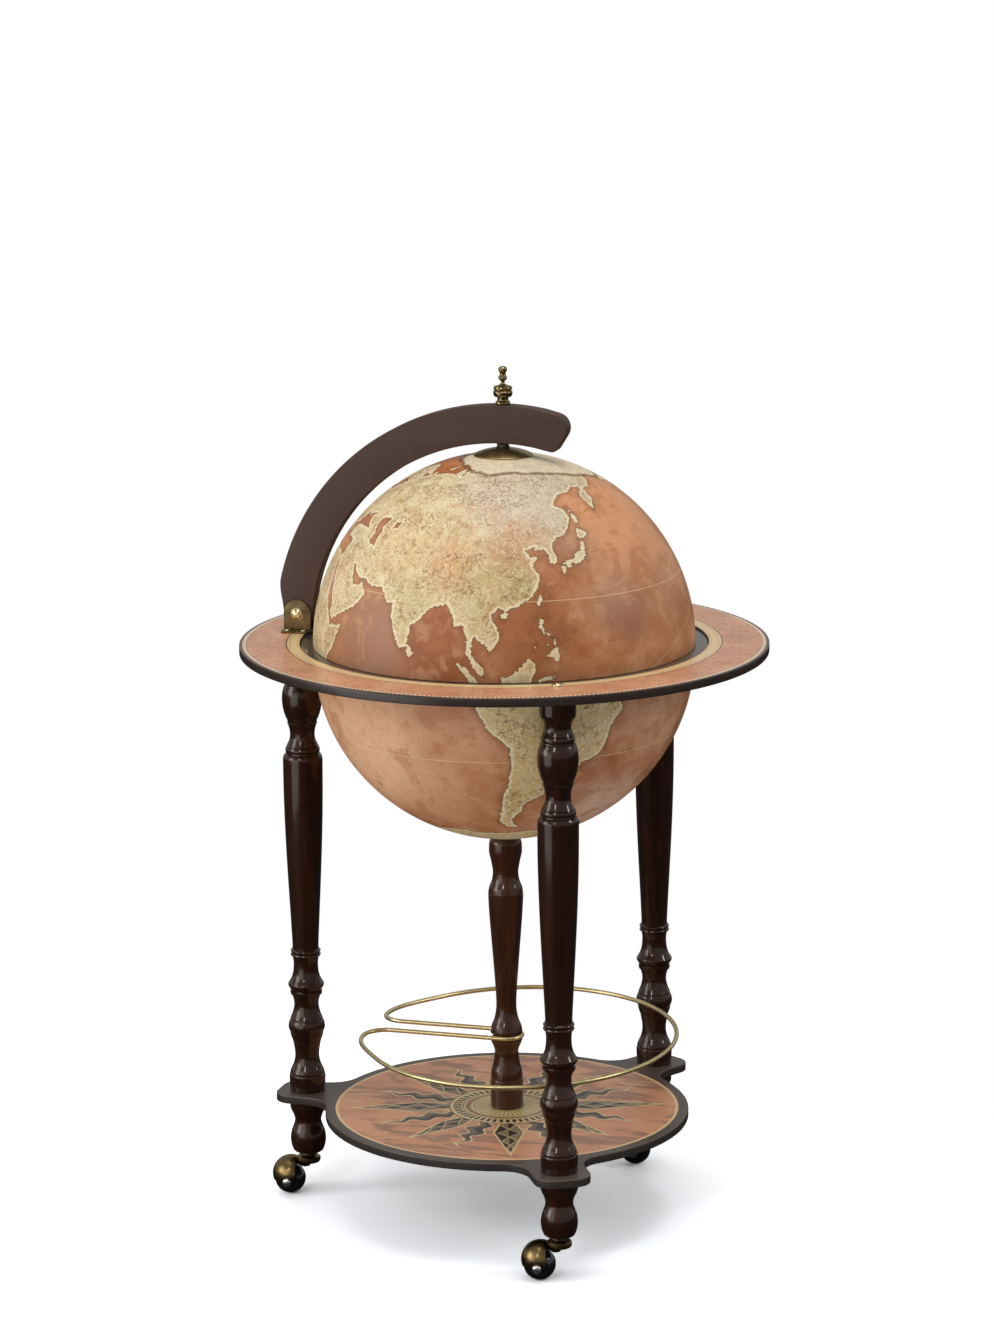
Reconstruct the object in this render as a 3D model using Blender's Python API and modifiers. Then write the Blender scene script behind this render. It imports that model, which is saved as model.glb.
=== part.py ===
# A globe drinks bar on three turned legs with casters. The upper half of the globe is a lid: it spins
# on a pivot in a curved arm, and the arm tips back on a hinge at the left leg. The lower half is a
# bowl that holds a rack for glasses and bottles. A round shelf with a bent rail joins the legs below.
# Metres, +Z up. The origin is on the floor under the globe's centre, and the arm lies in the XZ plane.

from math import acos, atan2, cos, pi, radians, sin, sqrt

import bmesh
import bpy
from mathutils import Matrix, Vector

GAP = 0.0003  # between pieces that meet, and round every pin
MERGE = 0.00001

# Globe
GLOBE_R = 0.200
SHELL_T = 0.003
LID_GAP = 0.0005  # the lid's rim above its seat

# Ring and the seat inside it
RING_T = 0.009
RIM_LAND = 0.0135  # the ring's hole beyond the globe
LEG_INSET = 0.011  # the leg axes beyond the ring's hole
RING_MARGIN = 0.0525  # the ring's edge beyond the leg axes
SEAT_DROP = 0.0018  # the seat's top below the ring's top
SEAT_T = 0.0061  # the seat's thickness over the bowl's rim
SEAT_LIP = 0.016  # how far the seat reaches inside the globe's radius

# Rack in the bowl
TRAY_FLANGE = 0.010
TRAY_SHEET = 0.0018
TRAY_WALL = 0.0025
TRAY_DEPTH = 0.036
RACK_LEDGE = 0.009
RACK_T = 0.005
BOTTLE_HOLE_SHARE = 0.21  # of the globe's radius, as the next two are
BOTTLE_WEB_SHARE = 0.10  # wood left between two bottle holes
GLASS_HOLE_SHARE = 0.15
RACK_MARGIN = 0.0106  # wood left outside a glass hole
BOTTLE_FLOOR_H = 0.032  # above the bowl's lowest point
BOTTLE_FLOOR_T = 0.005

# Stand, from the floor up
FOOT_H = 0.0659
SHELF_T = 0.009
LEG_H = 0.4996
LEG_AZIMUTHS = {"left": 180, "front": 300, "rear": 60}

# Shelf: a circle with a lobe under each leg
SHELF_INSET = 0.0305  # the circle inside the leg axes
LOBE_REACH = 0.031  # beyond the leg axis
LOBE_HALF = 0.0295
LOBE_CORNER = 0.010
LOBE_FILLET = 0.030

# Rail: one bent rod, clipped in a groove of the column
ROD_R = 0.0024
RAIL_H = 0.0794  # above the shelf
RAIL_INSET_X = 0.0616  # the oval inside the leg axes, along X and along Y
RAIL_INSET_Y = 0.0392
RAIL_SHIFT = 0.0173
RAIL_BEND = 0.0245
RAIL_CORNER_INSET = 0.0409  # the bends' centres inside the oval
RAIL_JOIN = 140  # degrees round the oval where the bend has blended in
GROOVE_R = 0.0141

# Arm
ARM_T = 0.018
ARM_W = 0.040
ARM_CLEAR = 0.0095  # over the globe
ARM_RISE = 0.0015  # the arc's centre above the lid's rim
EYE_R = 0.0158
EYE_CLEAR = 0.0007  # over the bracket's base
SHOULDER = 13  # degrees above the rim where the arm starts to narrow to its eye
TAIL_IN = 16  # degrees past the pole, at the inner and the outer edge
TAIL_OUT = 18.5
TAIL_CORNER_IN = 0.005
TAIL_CORNER_OUT = 0.011

# Hinge
PIN_R = 0.003
PIN_HEAD_R = 0.0065
PIN_HEAD_T = 0.0035
NUT_R = 0.0055
NUT_T = 0.005
BRACKET_R = 0.015
CHEEK_T = 0.002
BASE_T = 0.0018
BRACKET_FOOT = 0.013
SCREW_R = 0.0015
SCREW_HEAD_R = 0.003
SCREW_HEAD_T = 0.0013
SCREW_SPACING = 0.018

# Pole
PIVOT_R = 0.004
CAP_R = 0.031
CAP_EDGE = 0.0008
CAP_RISE = 0.0058
SPACER_R = 0.007
FINIAL_BORE = 0.012
HUB_R = 0.022
HUB_T = 0.009
PIVOT_NUT_R = 0.009
PIVOT_NUT_T = 0.006

# Fixings
BOLT_R = 0.003
BOLT_HEAD_R = 0.006
DOME_T = 0.003
FLAT_T = 0.0014
LEG_BOLT_DEPTH = 0.035
STUD_DEPTH_LEG = 0.032
STUD_DEPTH_FOOT = 0.024
COLUMN_SCREW_R = 0.0025
COLUMN_SCREW_DEPTH = 0.030
COLUMN_HEAD_R = 0.006
COLUMN_HEAD_T = 0.0025
BOWL_HEAD_R = 0.009
BOWL_HEAD_T = 0.0022

# Casters
WHEEL_R = 0.0167
WHEEL_FLAT = 0.0037  # cut off each side of the ball
AXLE_R = 0.002
TRAIL_CLEAR = 0.0039  # from the swivel axis to the wheel
HOOD_MARGIN = 0.0033  # the hood's radius beyond the wheel's
HOOD_CLEAR = 0.0005  # from the hood to the foot above
HOOD_T = 0.0012
HOOD_SHIFT = 0.0008  # the hood's centre nearer to the swivel axis than the wheel's
HOOD_RISE = 0.0055
HOOD_FROM = -3  # degrees about the axle, from the trailing side up
HOOD_TO = 108
EAR_R = 0.0052
AXLE_CAP_R = 0.0046
AXLE_CAP_T = 0.0018
PLATE_R = 0.0128
PLATE_T = 0.0066
HORN_DROP = 0.008
STEM_R = 0.004
STEM_DEPTH = 0.030
STEM_SEAT = 0.005
SOCKET_T = 0.0012
CASTER_AZIMUTH = 187  # the way all three casters trail

# Facets
BIG_STEPS = 40
SHELL_RINGS = 9
TURNED_STEPS = 12
SMALL_STEPS = 10
WHEEL_STEPS = 16

# Turned profiles: (distance, radius) in turning units
TURNING_UNIT = 0.001
LEG_TOP = [(0, 18.6), (22, 18.6), (24, 17.0), (33, 14.0), (41, 15.0), (47, 16.9), (53, 19.2), (61, 20.9),
           (70, 21.3), (79, 20.6), (85, 18.8), (92, 16.3), (97, 14.0), (104, 13.3), (112, 14.0), (119, 16.5),
           (127, 20.5), (139, 21.1)]
LEG_BOTTOM = [(0, 18.9), (15.1, 19.4), (20.1, 18.4), (26.7, 14.9), (37.1, 12.9), (50.1, 15.5), (60.5, 18.15),
              (69.1, 19.6), (74.1, 18.5), (84.1, 15.0), (94.1, 13.0), (106.1, 15.0), (114.6, 18.4),
              (118.1, 19.2), (124.6, 15.6), (131.1, 13.7), (142.6, 13.0), (149.4, 16.2), (155.8, 16.2), (161, 14.0)]
COLUMN_TOP = [(0, 13.0), (7.7, 16.8), (14.7, 17.5), (19.7, 17.5), (31, 15.0), (41.7, 13.5), (50.7, 14.8),
              (57.2, 17.3), (66.7, 18.7), (83.7, 17.8)]
COLUMN_BOTTOM = [(0, 17.4), (32.1, 17.5), (40.1, 16.5), (47.1, 14.5)]
COLUMN_BELOW_RAIL = [(18.8, 12.7), (15.3, 13.1), (8.8, 15.6), (5.3, 17.0)]
COLUMN_ABOVE_RAIL = [(5.3, 17.0), (11.2, 15.7), (17.7, 13.1), (24.7, 11.5), (34.7, 10.7)]
FOOT_TOP = [(0, 19.0), (9.8, 19.2), (13.6, 17.9), (17.9, 15.8), (24.3, 14.25)]
FOOT_BOTTOM = [(0, 7.8), (2.2, 9.0), (4.3, 8.2), (4.7, 12.6), (6.6, 15.7), (10.9, 17.7), (19.5, 19.15),
               (28.1, 18.1), (36.7, 15.1)]
FINIAL = [(0, 7.2), (2.6, 7.5), (4.4, 5.8), (7.4, 6.0), (8.2, 8.8), (11, 10.0), (13.2, 10.0), (14.8, 8.6),
          (16, 9.7), (18.6, 9.3), (21.6, 2.4), (24, 2.2), (25.7, 3.8), (27.6, 4.7), (30.8, 3.2), (33, 3.2),
          (34.2, 4.0), (36, 4.7), (38, 4.0), (39.4, 2.0)]
SHAFT_POWER = 1.15  # how full the leg's long taper is
SHAFT_POINTS = 5

# Places and sizes that follow from the sizes above
WHEEL_HALF = WHEEL_R - WHEEL_FLAT
TRAIL = WHEEL_R + TRAIL_CLEAR
HOOD_R = WHEEL_R + HOOD_MARGIN
HOOD_TRAIL = TRAIL - HOOD_SHIFT
HOOD_Z = WHEEL_R + HOOD_RISE
CASTER_H = HOOD_Z + HOOD_R + HOOD_CLEAR
HOLE_R = GLOBE_R + RIM_LAND
LEG_R = HOLE_R + LEG_INSET
RING_R = LEG_R + RING_MARGIN
SHELF_Z = CASTER_H + FOOT_H
SHELF_TOP = SHELF_Z + SHELF_T
RING_Z = SHELF_TOP + LEG_H
RING_TOP = RING_Z + RING_T
SEAT_TOP = RING_TOP - SEAT_DROP
LID_Z = SEAT_TOP + LID_GAP
BOWL_Z = SEAT_TOP - SEAT_T - GAP
BOWL_R = GLOBE_R - SHELL_T
ARM_Z = LID_Z + ARM_RISE
ARM_IN = GLOBE_R + ARM_CLEAR
ARM_OUT = ARM_IN + ARM_W
PIN_Z = RING_TOP + GAP + BASE_T + EYE_CLEAR + EYE_R
BASE_TOP = RING_TOP + GAP + BASE_T
CHEEK_Y = ARM_T / 2 + GAP  # inner face of each cheek
RAIL_Z = SHELF_TOP + RAIL_H
TRAY_R = GLOBE_R - SEAT_LIP - GAP
RACK_R = TRAY_R - TRAY_WALL - GAP
BOTTLE_HOLE_R = GLOBE_R * BOTTLE_HOLE_SHARE
BOTTLE_WEB = GLOBE_R * BOTTLE_WEB_SHARE
GLASS_HOLE_R = GLOBE_R * GLASS_HOLE_SHARE
PLATE_TOP = CASTER_H - GAP
SOCKET_R = STEM_R + GAP + SOCKET_T
SOCKET_BORE = SOCKET_R + GAP
SOCKET_DEPTH = STEM_DEPTH + GAP * 2


def linear(channel):
    return channel / 12.92 if channel <= 0.04045 else ((channel + 0.055) / 1.055) ** 2.4


def material(name, colour, roughness, metallic=0.0):
    made = bpy.data.materials.new(name)
    made.use_nodes = True
    shader = made.node_tree.nodes["Principled BSDF"]
    shader.inputs["Base Color"].default_value = [linear(c / 255) for c in colour] + [1]
    shader.inputs["Roughness"].default_value = roughness
    shader.inputs["Metallic"].default_value = metallic
    return made


def collection(name):
    made = bpy.data.collections.new(name)
    bpy.context.scene.collection.children.link(made)
    return made


def leg_point(side, z=0.0):
    azimuth = radians(LEG_AZIMUTHS[side])
    return Vector((LEG_R * cos(azimuth), LEG_R * sin(azimuth), z))


def circle(radius, steps, centre=(0, 0)):
    return arc(centre, radius, 0, 360, steps)[:-1]


def arc(centre, radius, start, end, steps):
    angles = [radians(start + (end - start) * i / steps) for i in range(steps + 1)]
    return [(centre[0] + radius * cos(a), centre[1] + radius * sin(a)) for a in angles]


def blend(start, leave, end, arrive, steps):
    # Points between two ends that leave and arrive along the given directions
    start, end = Vector(start), Vector(end)
    reach = (end - start).length
    leave, arrive = Vector(leave).normalized() * reach, Vector(arrive).normalized() * reach
    points = []
    for i in range(1, steps):
        t = i / steps
        point = start * (2 * t**3 - 3 * t**2 + 1) + leave * (t**3 - 2 * t**2 + t)
        point += end * (3 * t**2 - 2 * t**3) + arrive * (t**3 - t**2)
        points.append(tuple(point))
    return points


def rounded(before, corner, after, radius, steps=4):
    # The corner between two straight edges, rounded
    corner = Vector(corner)
    back, on = (Vector(before) - corner).normalized(), (Vector(after) - corner).normalized()
    half = back.angle(on) / 2
    centre = corner + (back + on).normalized() * radius / sin(half)
    first = corner + back * radius / (sin(half) / cos(half)) - centre
    last = corner + on * radius / (sin(half) / cos(half)) - centre
    start, turn = atan2(first.y, first.x), last.angle_signed(first)
    return [tuple(centre + Vector((cos(start + turn * i / steps), sin(start + turn * i / steps))) * radius)
            for i in range(steps + 1)]


def finish(obj, look, home, parent=None):
    obj.data.materials.clear()
    obj.data.materials.append(look)
    home.objects.link(obj)
    if parent:
        obj.parent = parent
        obj.matrix_parent_inverse = Matrix.Translation(parent.location).inverted()
    return obj


def shade(mesh):
    mesh.shade_smooth()
    mesh.set_sharp_from_angle(angle=radians(35))


def solid_mesh(obj, name):
    # The mesh that obj's curve or modifiers make, welded
    scene = bpy.context.scene.collection
    scene.objects.link(obj)
    bpy.context.view_layer.update()
    evaluated = obj.evaluated_get(bpy.context.evaluated_depsgraph_get())
    mesh = bpy.data.meshes.new_from_object(evaluated)
    mesh.name = name
    work = bmesh.new()
    work.from_mesh(mesh)
    bmesh.ops.remove_doubles(work, verts=work.verts, dist=MERGE)
    bmesh.ops.recalc_face_normals(work, faces=work.faces)
    work.to_mesh(mesh)
    work.free()
    shade(mesh)
    bpy.data.objects.remove(obj)
    return mesh


def turned_mesh(name, profile, steps, closed=False):
    # A profile of (radius, height) points spun about Z. It runs down the outer side.
    mesh = bpy.data.meshes.new(name)
    edges = [(i, i + 1) for i in range(len(profile) - 1)]
    if closed:
        edges.append((len(profile) - 1, 0))
    mesh.from_pydata([(r, 0, z) for r, z in profile], edges, [])
    obj = bpy.data.objects.new(name, mesh)
    spin = obj.modifiers.new("spin", "SCREW")
    spin.steps = spin.render_steps = steps
    spin.use_merge_vertices = True
    spin.merge_threshold = MERGE
    return solid_mesh(obj, name)


def board_mesh(name, outline, holes, thickness):
    # A flat outline with holes, thickened both ways from z = 0
    curve = bpy.data.curves.new(name, "CURVE")
    curve.dimensions = "2D"
    curve.fill_mode = "BOTH"
    curve.extrude = thickness / 2
    for loop in [outline] + holes:
        spline = curve.splines.new("POLY")
        spline.points.add(len(loop) - 1)
        for point, place in zip(spline.points, loop):
            point.co = (place[0], place[1], 0, 1)
        spline.use_cyclic_u = True
    return solid_mesh(bpy.data.objects.new(name, curve), name)


def rod_mesh(name, points, radius):
    curve = bpy.data.curves.new(name, "CURVE")
    curve.dimensions = "3D"
    curve.bevel_depth = radius
    curve.bevel_resolution = 2
    spline = curve.splines.new("POLY")
    spline.points.add(len(points) - 1)
    for point, place in zip(spline.points, points):
        point.co = (place[0], place[1], 0, 1)
    spline.use_cyclic_u = True
    return solid_mesh(bpy.data.objects.new(name, curve), name)


def piece(name, mesh, look, at=(0, 0, 0), turn=(0, 0, 0), parent=None):
    obj = bpy.data.objects.new(name, mesh)
    obj.location = at
    obj.rotation_euler = turn
    return finish(obj, look, PARTS, parent)


def cut(obj, cutter, operation="DIFFERENCE"):
    cutter.hide_render = True
    cutter.display_type = "WIRE"
    CUTTERS.objects.link(cutter)
    boolean = obj.modifiers.new(cutter.name, "BOOLEAN")
    boolean.operation = operation
    boolean.object = cutter
    boolean.solver = "EXACT"


def axis_empty(name, at, parent=None):
    empty = bpy.data.objects.new(name, None)
    empty.location = at
    if parent:
        empty.parent = parent
        empty.location = Vector(at) - parent.location
    PARTS.objects.link(empty)
    return empty


def dome_head(radius, height, steps=3):
    # From the top of a domed head down to its rim, as (radius, height) points
    return [(radius * sin(pi / 2 * i / steps), height * cos(pi / 2 * i / steps)) for i in range(steps + 1)]


def scaled(profile):
    return [(distance * TURNING_UNIT, radius * TURNING_UNIT) for distance, radius in profile]


def shell_arc(radius, hole):
    # A hemisphere's profile from its rim to the hole at its pole, as (distance, height) points
    end = acos(hole / radius)
    angles = [end * i / SHELL_RINGS for i in range(SHELL_RINGS + 1)]
    return [(radius * cos(a), radius * sin(a)) for a in angles]


def follow(profile, at, given=0):
    # The height of a profile at a distance from its axis, or with given=1 its distance at a height
    for a, b in zip(profile, profile[1:]):
        if min(a[given], b[given]) - MERGE <= at <= max(a[given], b[given]) + MERGE:
            return a[1 - given] + (b[1 - given] - a[1 - given]) * (at - a[given]) / (b[given] - a[given])


def ceiling(at):
    return follow(shell_arc(BOWL_R, PIVOT_R + GAP), at)


def bowl_wall(at, given):
    return follow(shell_arc(BOWL_R, COLUMN_SCREW_R + GAP), at, given)


# Globe and its seat


def hemisphere(name, upward, hole, look, at, parent=None):
    outer, inner = shell_arc(GLOBE_R, hole), shell_arc(BOWL_R, hole)
    if upward:
        profile = outer[::-1] + inner
    else:
        profile = [(r, -z) for r, z in outer + inner[::-1]]
    return piece(name, turned_mesh(name, profile, BIG_STEPS, closed=True), look, at, parent=parent)


def rim_seat():
    # A hoop inside the ring's hole, with a rebate for the bowl's rim
    rebate = GLOBE_R + GAP
    bottom = RING_Z
    under = BOWL_Z + GAP
    outer = HOLE_R - GAP
    inner = GLOBE_R - SEAT_LIP
    profile = [(outer, SEAT_TOP), (outer, bottom), (rebate, bottom), (rebate, under), (inner, under), (inner, SEAT_TOP)]
    return piece("rim_seat", turned_mesh("rim_seat", profile, BIG_STEPS, closed=True), SEAT_LOOK)


def tray_rim():
    # A flange on the seat, a wall down into the bowl and a ledge for the rack
    top = SEAT_TOP + GAP + TRAY_SHEET
    low = SEAT_TOP - TRAY_DEPTH
    edge = TRAY_R + TRAY_FLANGE
    wall = TRAY_R - TRAY_WALL
    ledge = wall - RACK_LEDGE
    profile = [(edge, top), (edge, SEAT_TOP + GAP), (TRAY_R, SEAT_TOP + GAP), (TRAY_R, low), (ledge, low),
               (ledge, low + TRAY_WALL), (wall, low + TRAY_WALL), (wall, top)]
    return piece("tray_rim", turned_mesh("tray_rim", profile, BIG_STEPS, closed=True), TRAY_LOOK)


def glass_rack():
    bottle_ring = (BOTTLE_HOLE_R + BOTTLE_WEB / 2) / sin(pi / 3)
    glass_ring = RACK_R - RACK_MARGIN - GLASS_HOLE_R
    holes = [circle(BOTTLE_HOLE_R, 16, polar(bottle_ring, 60 + 120 * i)) for i in range(3)]
    holes += [circle(GLASS_HOLE_R, 12, polar(glass_ring, 30 + 60 * i)) for i in range(6)]
    z = SEAT_TOP - TRAY_DEPTH + TRAY_WALL + GAP + RACK_T / 2
    return piece("glass_rack", board_mesh("glass_rack", circle(RACK_R, BIG_STEPS), holes, RACK_T), RACK_LOOK, (0, 0, z))


def polar(radius, degrees):
    return radius * cos(radians(degrees)), radius * sin(radians(degrees))


def bottle_floor():
    # A disc low in the bowl, its edge sloped to the bowl's wall
    low = BOTTLE_FLOOR_H - GLOBE_R
    high = low + BOTTLE_FLOOR_T
    wide, narrow = bowl_wall(-high, 1) - GAP, bowl_wall(-low, 1) - GAP
    profile = [(0, high), (wide, high), (narrow, low), (0, low)]
    return piece("bottle_floor", turned_mesh("bottle_floor", profile, BIG_STEPS), RACK_LOOK, (0, 0, BOWL_Z))


def horizon_ring():
    holes = [circle(HOLE_R, BIG_STEPS)]
    holes += [circle(BOLT_R + GAP, SMALL_STEPS, leg_point(side)[:2]) for side in LEG_AZIMUTHS]
    holes += [circle(SCREW_R + GAP, 8, place) for place in bracket_screws()]
    mesh = board_mesh("horizon_ring", circle(RING_R, BIG_STEPS), holes, RING_T)
    return piece("horizon_ring", mesh, RING_LOOK, (0, 0, RING_Z + RING_T / 2))


# Turned wood


def shaft(low, high, low_r, high_r):
    points = []
    for i in range(1, SHAFT_POINTS):
        share = i / SHAFT_POINTS
        points.append((low_r + (high_r - low_r) * sin(share * pi / 2) ** SHAFT_POWER, low + (high - low) * share))
    return points[::-1]


def bored(profile, length, top_bore, bottom_bore):
    # An outer profile, top to bottom, with a blind bore (radius, depth) in each end
    start = [(0, length - top_bore[1]), (top_bore[0], length - top_bore[1]), (top_bore[0], length)]
    end = [(bottom_bore[0], 0), (bottom_bore[0], bottom_bore[1]), (0, bottom_bore[1])]
    return start + profile + end


def leg_mesh():
    length = LEG_H - 2 * GAP
    top = [(radius, length - distance) for distance, radius in scaled(LEG_TOP)]
    bottom = [(radius, distance) for distance, radius in scaled(LEG_BOTTOM)][::-1]
    profile = top + shaft(bottom[0][1], top[-1][1], bottom[0][0], top[-1][0]) + bottom
    bore = BOLT_R + GAP
    return turned_mesh("leg", bored(profile, length, (bore, LEG_BOLT_DEPTH), (bore, STUD_DEPTH_LEG)), TURNED_STEPS)


def foot_mesh():
    length = FOOT_H - 2 * GAP
    top = [(radius, length - distance) for distance, radius in scaled(FOOT_TOP)]
    bottom = [(radius, distance) for distance, radius in scaled(FOOT_BOTTOM)][::-1]
    bores = (BOLT_R + GAP, STUD_DEPTH_FOOT), (SOCKET_BORE, SOCKET_DEPTH)
    return turned_mesh("foot", bored(top + bottom, length, *bores), TURNED_STEPS)


def centre_column():
    length = BOWL_Z - GLOBE_R - SHELF_TOP - 2 * GAP
    rail = RAIL_H - GAP
    groove = ROD_R + GAP
    lip = scaled(COLUMN_ABOVE_RAIL)[0][1]
    profile = [(radius, length - distance) for distance, radius in scaled(COLUMN_TOP)]
    profile += [(radius, rail + distance) for distance, radius in scaled(COLUMN_ABOVE_RAIL)[::-1]]
    profile += [(lip, rail + groove), (GROOVE_R, rail + groove), (GROOVE_R, rail - groove), (lip, rail - groove)]
    profile += [(radius, rail - distance) for distance, radius in scaled(COLUMN_BELOW_RAIL)[::-1]]
    profile += [(radius, distance) for distance, radius in scaled(COLUMN_BOTTOM)[::-1]]
    bore = COLUMN_SCREW_R + GAP, COLUMN_SCREW_DEPTH + GAP
    mesh = turned_mesh("centre_column", bored(profile, length, bore, bore), TURNED_STEPS)
    return piece("centre_column", mesh, WOOD_LOOK, (0, 0, SHELF_TOP + GAP))


# Shelf and rail


def shelf_outline():
    radius = LEG_R - SHELF_INSET
    tip = LEG_R + LOBE_REACH
    side = LOBE_HALF + LOBE_FILLET
    fillet_u = sqrt((radius + LOBE_FILLET) ** 2 - side**2)
    tangent = atan2(side, fillet_u) * 180 / pi
    lobe = arc((fillet_u, -side), LOBE_FILLET, 180 - tangent, 90, 5)
    lobe += arc((tip - LOBE_CORNER, LOBE_CORNER - LOBE_HALF), LOBE_CORNER, -90, 0, 4)
    lobe += arc((tip - LOBE_CORNER, LOBE_HALF - LOBE_CORNER), LOBE_CORNER, 0, 90, 4)
    lobe += arc((fillet_u, side), LOBE_FILLET, 270, 180 + tangent, 5)
    outline = []
    for azimuth in sorted(LEG_AZIMUTHS.values()):
        a = radians(azimuth)
        outline += [(u * cos(a) - v * sin(a), u * sin(a) + v * cos(a)) for u, v in lobe]
        outline += arc((0, 0), radius, azimuth + tangent, azimuth + 120 - tangent, 9)[1:-1]
    return outline


def bottle_shelf():
    holes = [circle(BOLT_R + GAP, SMALL_STEPS, leg_point(side)[:2]) for side in LEG_AZIMUTHS]
    holes.append(circle(COLUMN_SCREW_R + GAP, SMALL_STEPS))
    mesh = board_mesh("bottle_shelf", shelf_outline(), holes, SHELF_T)
    return piece("bottle_shelf", mesh, SHELF_LOOK, (0, 0, SHELF_Z + SHELF_T / 2))


def rail_path():
    # Half of the loop, from the column round one bend to the oval's far end, and its mirror image
    run = GROOVE_R + GAP + ROD_R
    reach_x, reach_y = LEG_R - RAIL_INSET_X, LEG_R - RAIL_INSET_Y
    corner = (RAIL_CORNER_INSET - reach_x, run + RAIL_BEND)
    join = radians(RAIL_JOIN)
    half = arc((0, 0), run, 0, 90, 5)
    half += arc(corner, RAIL_BEND, 270, 180, 4)
    end = (RAIL_SHIFT + reach_x * cos(join), reach_y * sin(join))
    half += blend(half[-1], (0, 1), end, (reach_x * sin(join), -reach_y * cos(join)), 3)
    for i in range(13):
        a = join * (1 - i / 12)
        half.append((RAIL_SHIFT + reach_x * cos(a), reach_y * sin(a)))
    return half + [(x, -y) for x, y in half[-2:0:-1]]


def bottle_rail():
    return piece("bottle_rail", rod_mesh("bottle_rail", rail_path(), ROD_R), RAIL_LOOK, (0, 0, RAIL_Z))


# Arm and hinge


def arm_outline():
    # In the arm's plane, from the arc's centre
    eye = (-LEG_R, PIN_Z - ARM_Z)
    turn = radians(180 - SHOULDER)
    outer = arc((0, 0), ARM_OUT, 90 - TAIL_OUT, 180 - SHOULDER, 20)
    inner = arc((0, 0), ARM_IN, 180 - SHOULDER, 90 - TAIL_IN, 20)
    ring = arc(eye, EYE_R, 180, 345, 11)
    points = rounded(inner[-1], outer[0], outer[2], TAIL_CORNER_OUT) + outer[2:]
    points += blend(outer[-1], (-sin(turn), cos(turn)), ring[0], (0, -1), 4)
    points += ring
    points += blend(ring[-1], (-sin(radians(345)), cos(radians(345))), inner[0], (sin(turn), -cos(turn)), 4)
    return points + inner[:-1] + rounded(inner[-2], inner[-1], outer[0], TAIL_CORNER_IN)


def meridian_arm(parent):
    eye = circle(PIN_R + GAP, SMALL_STEPS, (-LEG_R, PIN_Z - ARM_Z))
    mesh = board_mesh("meridian_arm", arm_outline(), [eye], ARM_T)
    mesh.transform(Matrix.Translation((LEG_R, 0, ARM_Z - PIN_Z)) @ Matrix.Rotation(pi / 2, 4, "X"))
    arm = piece("meridian_arm", mesh, ARM_LOOK, (-LEG_R, 0, PIN_Z), parent=parent)
    bore = turned_mesh("pivot_bore", [(0, ARM_W), (PIVOT_R + GAP, ARM_W), (PIVOT_R + GAP, -ARM_W), (0, -ARM_W)], 16)
    cutter = bpy.data.objects.new("pivot_bore", bore)
    cutter.location = (0, 0, ARM_Z + ARM_IN + ARM_W / 2)
    cut(arm, cutter)
    return arm


def bracket_screws():
    y = CHEEK_Y + CHEEK_T + BRACKET_FOOT / 2
    return [(-LEG_R + x, side) for side in (-y, y) for x in (-SCREW_SPACING / 2, SCREW_SPACING / 2)]


def hinge_bracket():
    # A base plate with two upright cheeks that hold the pin
    half_y = CHEEK_Y + CHEEK_T + BRACKET_FOOT
    base = [(-BRACKET_R, -half_y), (BRACKET_R, -half_y), (BRACKET_R, half_y), (-BRACKET_R, half_y)]
    holes = [circle(BOLT_HEAD_R + 2 * GAP, 16)]
    holes += [circle(SCREW_R + GAP, 8, (x + LEG_R, y)) for x, y in bracket_screws()]
    mesh = board_mesh("hinge_bracket", base, holes, BASE_T)
    bracket = piece("hinge_bracket", mesh, BRACKET_LOOK, (-LEG_R, 0, BASE_TOP - BASE_T / 2))
    rise = PIN_Z - BASE_TOP
    outline = [(-BRACKET_R, -rise - BASE_T / 2), (BRACKET_R, -rise - BASE_T / 2)] + arc((0, 0), BRACKET_R, 0, 180, 12)
    outline[0] = (-BRACKET_R + GAP, outline[0][1])
    outline[1] = (BRACKET_R - GAP, outline[1][1])
    for side in (-1, 1):
        cheek = board_mesh("cheek", outline, [circle(PIN_R + GAP, SMALL_STEPS)], CHEEK_T)
        cutter = bpy.data.objects.new("cheek", cheek)
        cutter.rotation_euler = (pi / 2, 0, 0)
        cutter.location = (-LEG_R, side * (CHEEK_Y + CHEEK_T / 2), PIN_Z)
        cut(bracket, cutter, "UNION")
    return bracket


def hinge_pin():
    face = CHEEK_Y + CHEEK_T + GAP
    end = face + NUT_T + GAP
    profile = [(r, face + z) for r, z in dome_head(PIN_HEAD_R, PIN_HEAD_T, 4)] + [(PIN_R, face), (PIN_R, -end), (0, -end)]
    return piece("hinge_pin", turned_mesh("hinge_pin", profile, TURNED_STEPS), BRASS_LOOK, (-LEG_R, 0, PIN_Z), (pi / 2, 0, 0))


def nut(name, radius, thickness, bore, look, at, turn=(0, 0, 0), parent=None):
    edge = thickness / 5
    profile = [(radius - edge, thickness), (radius, thickness - edge), (radius, 0), (bore, 0), (bore, thickness)]
    return piece(name, turned_mesh(name, profile, SMALL_STEPS, closed=True), look, at, turn, parent)


# Pole


def pole_cap(parent):
    # A spun cap that follows the globe underneath
    bore = PIVOT_R + GAP
    globe = shell_arc(GLOBE_R, bore)
    under = [(r, follow(globe, r) - GLOBE_R + GAP) for r in (bore, CAP_R)]
    edge = under[-1][1] + CAP_EDGE
    crown = CAP_RISE + GAP
    upper = [(CAP_R * s, edge + (crown - edge) * cos(pi / 2 * s) ** 0.8) for s in (0.28, 0.5, 0.75)]
    profile = [(bore, crown), (SPACER_R, crown)] + upper + [(CAP_R, edge)] + under[::-1]
    return piece("pole_cap", turned_mesh("pole_cap", profile, 24, closed=True), BRACKET_LOOK, (0, 0, LID_Z + GLOBE_R), parent=parent)


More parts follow.
